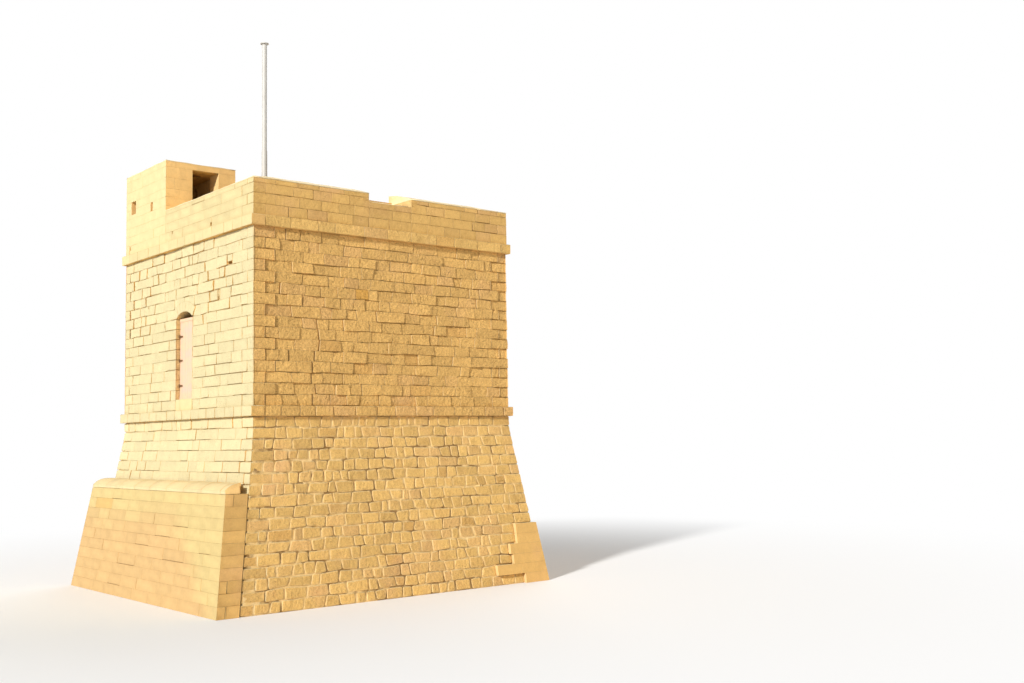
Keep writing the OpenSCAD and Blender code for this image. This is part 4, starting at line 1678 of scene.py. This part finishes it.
class TOWER_OT_turret(Operator):
    """Builds the corner turret with its loopholes, doorway and roof"""
    bl_idname = "tower.turret"
    bl_label = "Turret"

    def execute(self, context):
        style = context.scene.tower_smooth
        levels = [TERRACE_Z + step for step in TURRET_COURSES] + [TURRET_EAVES]
        front, left = body_face(FRONT), body_face(LEFT)
        right, back = Face(RIGHT, TURRET_RIGHT), Face(BACK, TURRET_BACK)
        outside = outer_faces() + [right, back]
        openings = self.openings()
        walls = (
            ("turret_front", front, -HALF, TURRET_RIGHT, openings + TURRET_HOLES),
            ("turret_left", left, -TURRET_BACK, HALF, ()),
            ("turret_back", back, -TURRET_RIGHT, HALF, ()))
        courses = range(len(levels) - 1)
        for seed, (node, face, left_at, right_at, gaps) in enumerate(walls, 601):
            stones = Masonry(seed)
            lefts = [left_at + (FAR_QUOIN if face is back else quoin(i, 1, TURRET_BOND))
                     for i in courses]
            rights = [right_at - quoin(i, 0, TURRET_BOND) for i in courses]
            lay_courses(stones, face, levels, lefts, rights, style, gaps)
            if face is front:
                lay_quoins(stones, front, levels, style, bond=TURRET_BOND,
                           edge_at=TURRET_RIGHT)
                lay_quoins(stones, left, levels, style, bond=TURRET_BOND)
            if face is back:
                lay_quoins(stones, back, levels, style, bond=TURRET_BOND)
            reveals = [Face(turns, (-1 if turns == LEFT else 1) * u) for gap in gaps
                       for turns, u in ((RIGHT, gap.left_low), (LEFT, gap.right_low))]
            holes = TURRET_HOLES if face is front else ()
            self.wall(stones, style, node, outside + reveals, holes)

        wall_t = TURRET_RIGHT - TURRET_ROOM_RIGHT
        doorway = Gap(0, TURRET_TOP, TURRET_JAMB_NEAR, TURRET_JAMB_NEAR, TURRET_JAMB_FAR,
                      TURRET_JAMB_FAR)
        stones = Masonry(611)
        lefts = [-HALF + quoin(i, 1, TURRET_BOND) for i in courses]
        lay_courses(stones, right, levels, lefts, TURRET_JAMB_NEAR + INTO_DOORWAY, style,
                    [doorway], jamb=wall_t)
        self.wall(stones, style, "turret_right_near",
                  [right, front, Face(BACK, TURRET_JAMB_NEAR)])
        stones = Masonry(612)
        rights = [TURRET_BACK - quoin(i, 0, FAR_BOND) for i in courses]
        lay_courses(stones, right, levels, TURRET_JAMB_FAR - INTO_DOORWAY, rights, style,
                    [doorway], jamb=wall_t)
        lay_quoins(stones, right, levels, style, bond=FAR_BOND, edge_at=TURRET_BACK,
                   depth=FAR_QUOIN)
        self.wall(stones, style, "turret_right_far",
                  [right, back, Face(FRONT, -TURRET_JAMB_FAR)])
        self.roof(style, outside)
        return {"FINISHED"}

    def wall(self, stones, style, node, faces, holes=()):
        """Makes one wall's piece"""
        core = mortar_core(node, ["ashlar_mortar"], bedded(style, faces), holes=holes)
        stones.build(node, "smooth", "dressed_stone", core)

    def openings(self):
        """Loophole and slit of the front wall, read from the CAD node's corners"""
        points = corners_on("turret_front", 1, -HALF)
        inside = [p for p in points if TERRACE_Z + 0.1 < p.z < TURRET_EAVES - 0.1]
        middle = (min(p.x for p in inside) + max(p.x for p in inside)) / 2
        gaps = []
        for group in ([p for p in inside if p.x < middle], [p for p in inside if p.x > middle]):
            xs = [p.x for p in group]
            zs = [p.z for p in group]
            gaps.append(Gap(min(zs), max(zs), min(xs), min(xs), max(xs), max(xs)))
        return tuple(gaps)

    def roof(self, style, outside):
        """Blocks round the roof's edge, and capping on its top"""
        stones = Masonry(621)
        levels = [TURRET_EAVES, TURRET_TOP - CAP_LIP]
        joint = style.joint / 2
        corner, depth = 0.5, 0.3
        sides = ((body_face(FRONT), -HALF, TURRET_RIGHT),
                 (Face(RIGHT, TURRET_RIGHT), -HALF, TURRET_BACK),
                 (Face(BACK, TURRET_BACK), -TURRET_RIGHT, HALF),
                 (body_face(LEFT), -TURRET_BACK, HALF))
        for face, left_at, right_at in sides:
            lay_courses(stones, face, levels, left_at + depth, right_at - corner, style,
                        depth=0.25)
            stones.add("corner", face, oblong(right_at - corner, right_at, *levels), depth,
                       style, sink=0.0, trims=(joint, 0, joint, joint))
        core = mortar_core("turret_roof", ["ashlar_mortar", "capping"],
                           bedded(style, outside), lip=levels[1])
        stones.build("turret_roof", "smooth", "pale_stone", core)


class TOWER_OT_terrace(Operator):
    """Paves the terrace and the turret's floor"""
    bl_idname = "tower.terrace"
    bl_label = "Terrace"

    def execute(self, context):
        style = context.scene.tower_ashlar
        stones = Masonry(701)
        paving = Paving(DECK_Z)
        rows = even_levels(TURRET_ROOM_FRONT + 0.01, PARAPET_INNER, 0.42)
        lay_courses(stones, paving, rows, TURRET_ROOM_LEFT + 0.01, PARAPET_INNER, style,
                    depth=DECK_Z - TERRACE_Z - 0.004)
        piece = stones.make("terrace_paving", "ashlar")
        finish_piece(piece, "pale_stone", "roof_deck")
        return {"FINISHED"}


class TOWER_OT_mast(Operator):
    """Paints the mast and adds the bolts and gussets at its foot"""
    bl_idname = "tower.mast"
    bl_label = "Mast"

    def execute(self, context):
        for node in ("mast_socket", "mast", "mast_cap"):
            paint_node(node, "white")
        lowest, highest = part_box("mast_socket")
        centre = (lowest + highest) / 2
        plate_r = (highest.x - lowest.x) / 2
        sleeve_r = (high("mast").x - low("mast").x) / 2 + 0.011
        plate_top = low("mast").z
        pieces = []
        for i in range(4):
            angle = math.radians(45 + 90 * i)
            pieces.append(self.gusset(centre, plate_top, sleeve_r, plate_r, angle))
            pieces.append(self.bolt(centre, plate_top, plate_r - 0.03,
                                    angle + math.radians(45)))
        finish_fittings(pieces, "mast_foot_fittings", "white", "mast_paint")
        return {"FINISHED"}

    def gusset(self, centre, z, inner, outer, angle):
        """Upright triangular plate between the sleeve and the base plate"""
        half_t, height = 0.005, 0.16
        outline = ((inner - 0.004, z), (outer - 0.012, z), (outer - 0.012, z + 0.02),
                   (inner - 0.004, z + height))
        points, faces = [], [(3, 2, 1, 0), (4, 5, 6, 7)]
        for side in (-half_t, half_t):
            for radius, level in outline:
                points.append((centre.x + radius * math.cos(angle) - side * math.sin(angle),
                               centre.y + radius * math.sin(angle) + side * math.cos(angle),
                               level))
        for i in range(4):
            j = (i + 1) % 4
            faces.append((i, j, j + 4, i + 4))
        mesh = bpy.data.meshes.new("gusset")
        mesh.from_pydata(points, [], faces)
        plate = add_object("gusset", mesh)
        with editing(plate):
            bpy.ops.mesh.normals_make_consistent(inside=False)
        return plate

    def bolt(self, centre, z, radius, angle):
        """Hexagonal head on the base plate"""
        deselect()
        height = 0.018
        bpy.ops.mesh.primitive_cylinder_add(
            vertices=6, radius=0.017, depth=height,
            location=(centre.x + radius * math.cos(angle),
                      centre.y + radius * math.sin(angle), z + height / 2))
        head = bpy.context.object
        bpy.ops.object.transform_apply(location=True, rotation=True, scale=True)
        with editing(head):
            bpy.ops.mesh.bevel(offset=0.002, segments=1, affect="EDGES")
        return head


def paint_node(node, material):
    """Gives a CAD node that stays visible its material"""
    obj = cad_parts[node]
    obj.data.materials.clear()
    obj.data.materials.append(MATERIALS[material])


class TOWER_OT_inside(Operator):
    """Finishes the vaults, the floors and the hinges, which keep their CAD shape"""
    bl_idname = "tower.inside"
    bl_label = "Inside and hinges"

    def execute(self, context):
        for node in ("foundation_core", "lower_vault", "upper_floor", "roof_vault"):
            paint_node(node, "rubble")
        paint_node("door_hinges", "iron")
        return {"FINISHED"}


class TOWER_OT_stage(Operator):
    """Sets the floor, the lamps, the world and the camera"""
    bl_idname = "tower.stage"
    bl_label = "Stage"

    def execute(self, context):
        stage = context.scene.tower_stage
        self.floor()
        self.world(context.scene, stage)
        self.lamp("key_lamp", stage.key, stage.key_azimuth, stage.key_height,
                  stage.key_breadth)
        self.lamp("fill_lamp", stage.fill, stage.fill_azimuth, stage.fill_height,
                  stage.fill_breadth)
        self.camera(context.scene, stage)
        context.scene.view_settings.view_transform = "Standard"
        return {"FINISHED"}

    def floor(self):
        """Wide pale floor that keeps the shadow and turns white far away"""
        deselect()
        bpy.ops.mesh.primitive_circle_add(vertices=96, radius=400, fill_type="NGON")
        disc = bpy.context.object
        disc.name = "stage_floor"
        surface = Surface("stage_floor", 0.9, 0.1)
        surface.shader.inputs["Base Color"].default_value = (0.9, 0.89, 0.87, 1)
        away = surface.add("ShaderNodeVectorMath", {0: surface.place},
                           operation="LENGTH").outputs["Value"]
        white = surface.times(surface.ramp(away, 9.0, 30.0), surface.in_sight())
        glow = surface.add("ShaderNodeEmission", {"Color": (1, 1, 1, 1), "Strength": 1.0})
        surface.send_out("Material Output", white, surface.shader, glow)
        disc.data.materials.append(surface.material)

    def world(self, scene, stage):
        """Even light from all round, shown as white to the camera"""
        world = bpy.data.worlds.new("studio")
        world.use_nodes = True
        scene.world = world
        nodes = Nodes(world.node_tree)
        even, white = (
            nodes.add("ShaderNodeBackground", {"Color": (1, 1, 1, 1), "Strength": strength})
            for strength in (stage.sky, 1.0))
        nodes.send_out("World Output", nodes.in_sight(), even, white)

    def lamp(self, name, strength, azimuth, height, breadth):
        """Far lamp whose breadth softens its shadows"""
        data = bpy.data.lights.new(name, "SUN")
        data.energy = strength
        data.angle = breadth
        lamp = add_object(name, data)
        level = math.cos(height)
        towards = Vector((math.sin(azimuth) * level, -math.cos(azimuth) * level,
                          math.sin(height)))
        lamp.rotation_euler = towards.to_track_quat("Z", "Y").to_euler()

    def camera(self, scene, stage):
        """Camera at the photograph's place"""
        ahead = Vector((-math.sin(stage.yaw) * math.cos(stage.pitch),
                        math.cos(stage.yaw) * math.cos(stage.pitch), math.sin(stage.pitch)))
        side = Vector((math.cos(stage.yaw), math.sin(stage.yaw), 0))
        up = side.cross(ahead)
        right = math.cos(stage.roll) * side + math.sin(stage.roll) * up
        above = -math.sin(stage.roll) * side + math.cos(stage.roll) * up
        data = bpy.data.cameras.new("camera")
        data.lens = stage.lens
        data.sensor_width = 36
        data.clip_end = 2000
        camera = add_object("camera", data)
        turn = Matrix((right, above, -ahead)).transposed()
        camera.matrix_world = Matrix.Translation(stage.camera) @ turn.to_4x4()
        scene.camera = camera


class TOWER_PT_panel(Panel):
    """Lists the steps that build the watchtower"""
    bl_idname = "TOWER_PT_panel"
    bl_label = "Watchtower"
    bl_space_type = "VIEW_3D"
    bl_region_type = "UI"
    bl_category = "Watchtower"

    def draw(self, context):
        for step in STEPS:
            self.layout.operator(step.bl_idname)


STEPS = (
    TOWER_OT_scarp, TOWER_OT_corner_repair, TOWER_OT_apron, TOWER_OT_cordons, TOWER_OT_walls,
    TOWER_OT_doorway, TOWER_OT_parapets, TOWER_OT_turret, TOWER_OT_terrace, TOWER_OT_mast,
    TOWER_OT_inside, TOWER_OT_stage)
SETTINGS = {
    "tower_scarp": ScarpSettings,
    "tower_dressed": DressedSettings,
    "tower_weathered": WeatheredSettings,
    "tower_wall": WallSettings,
    "tower_ashlar": AshlarSettings,
    "tower_smooth": SmoothSettings,
    "tower_cordon": CordonSettings,
    "tower_upper_cordon": UpperCordonSettings,
    "tower_finish": FinishSettings,
    "tower_stage": StageSettings,
}


def register():
    for name, group in SETTINGS.items():
        bpy.utils.register_class(group)
        setattr(bpy.types.Scene, name, PointerProperty(type=group))
    for step in STEPS + (TOWER_PT_panel,):
        bpy.utils.register_class(step)


def unregister():
    for step in (TOWER_PT_panel,) + STEPS[::-1]:
        bpy.utils.unregister_class(step)
    for name, group in SETTINGS.items():
        delattr(bpy.types.Scene, name)
        bpy.utils.unregister_class(group)


def main():
    register()
    for kind, cuts in BLANK_CUTS.items():
        BLANKS[kind] = make_blank(cuts)
    make_materials(bpy.context.scene.tower_finish)
    for step in STEPS:
        group, name = step.bl_idname.split(".")
        getattr(getattr(bpy.ops, group), name)()


if __name__ == "__main__":
    main()
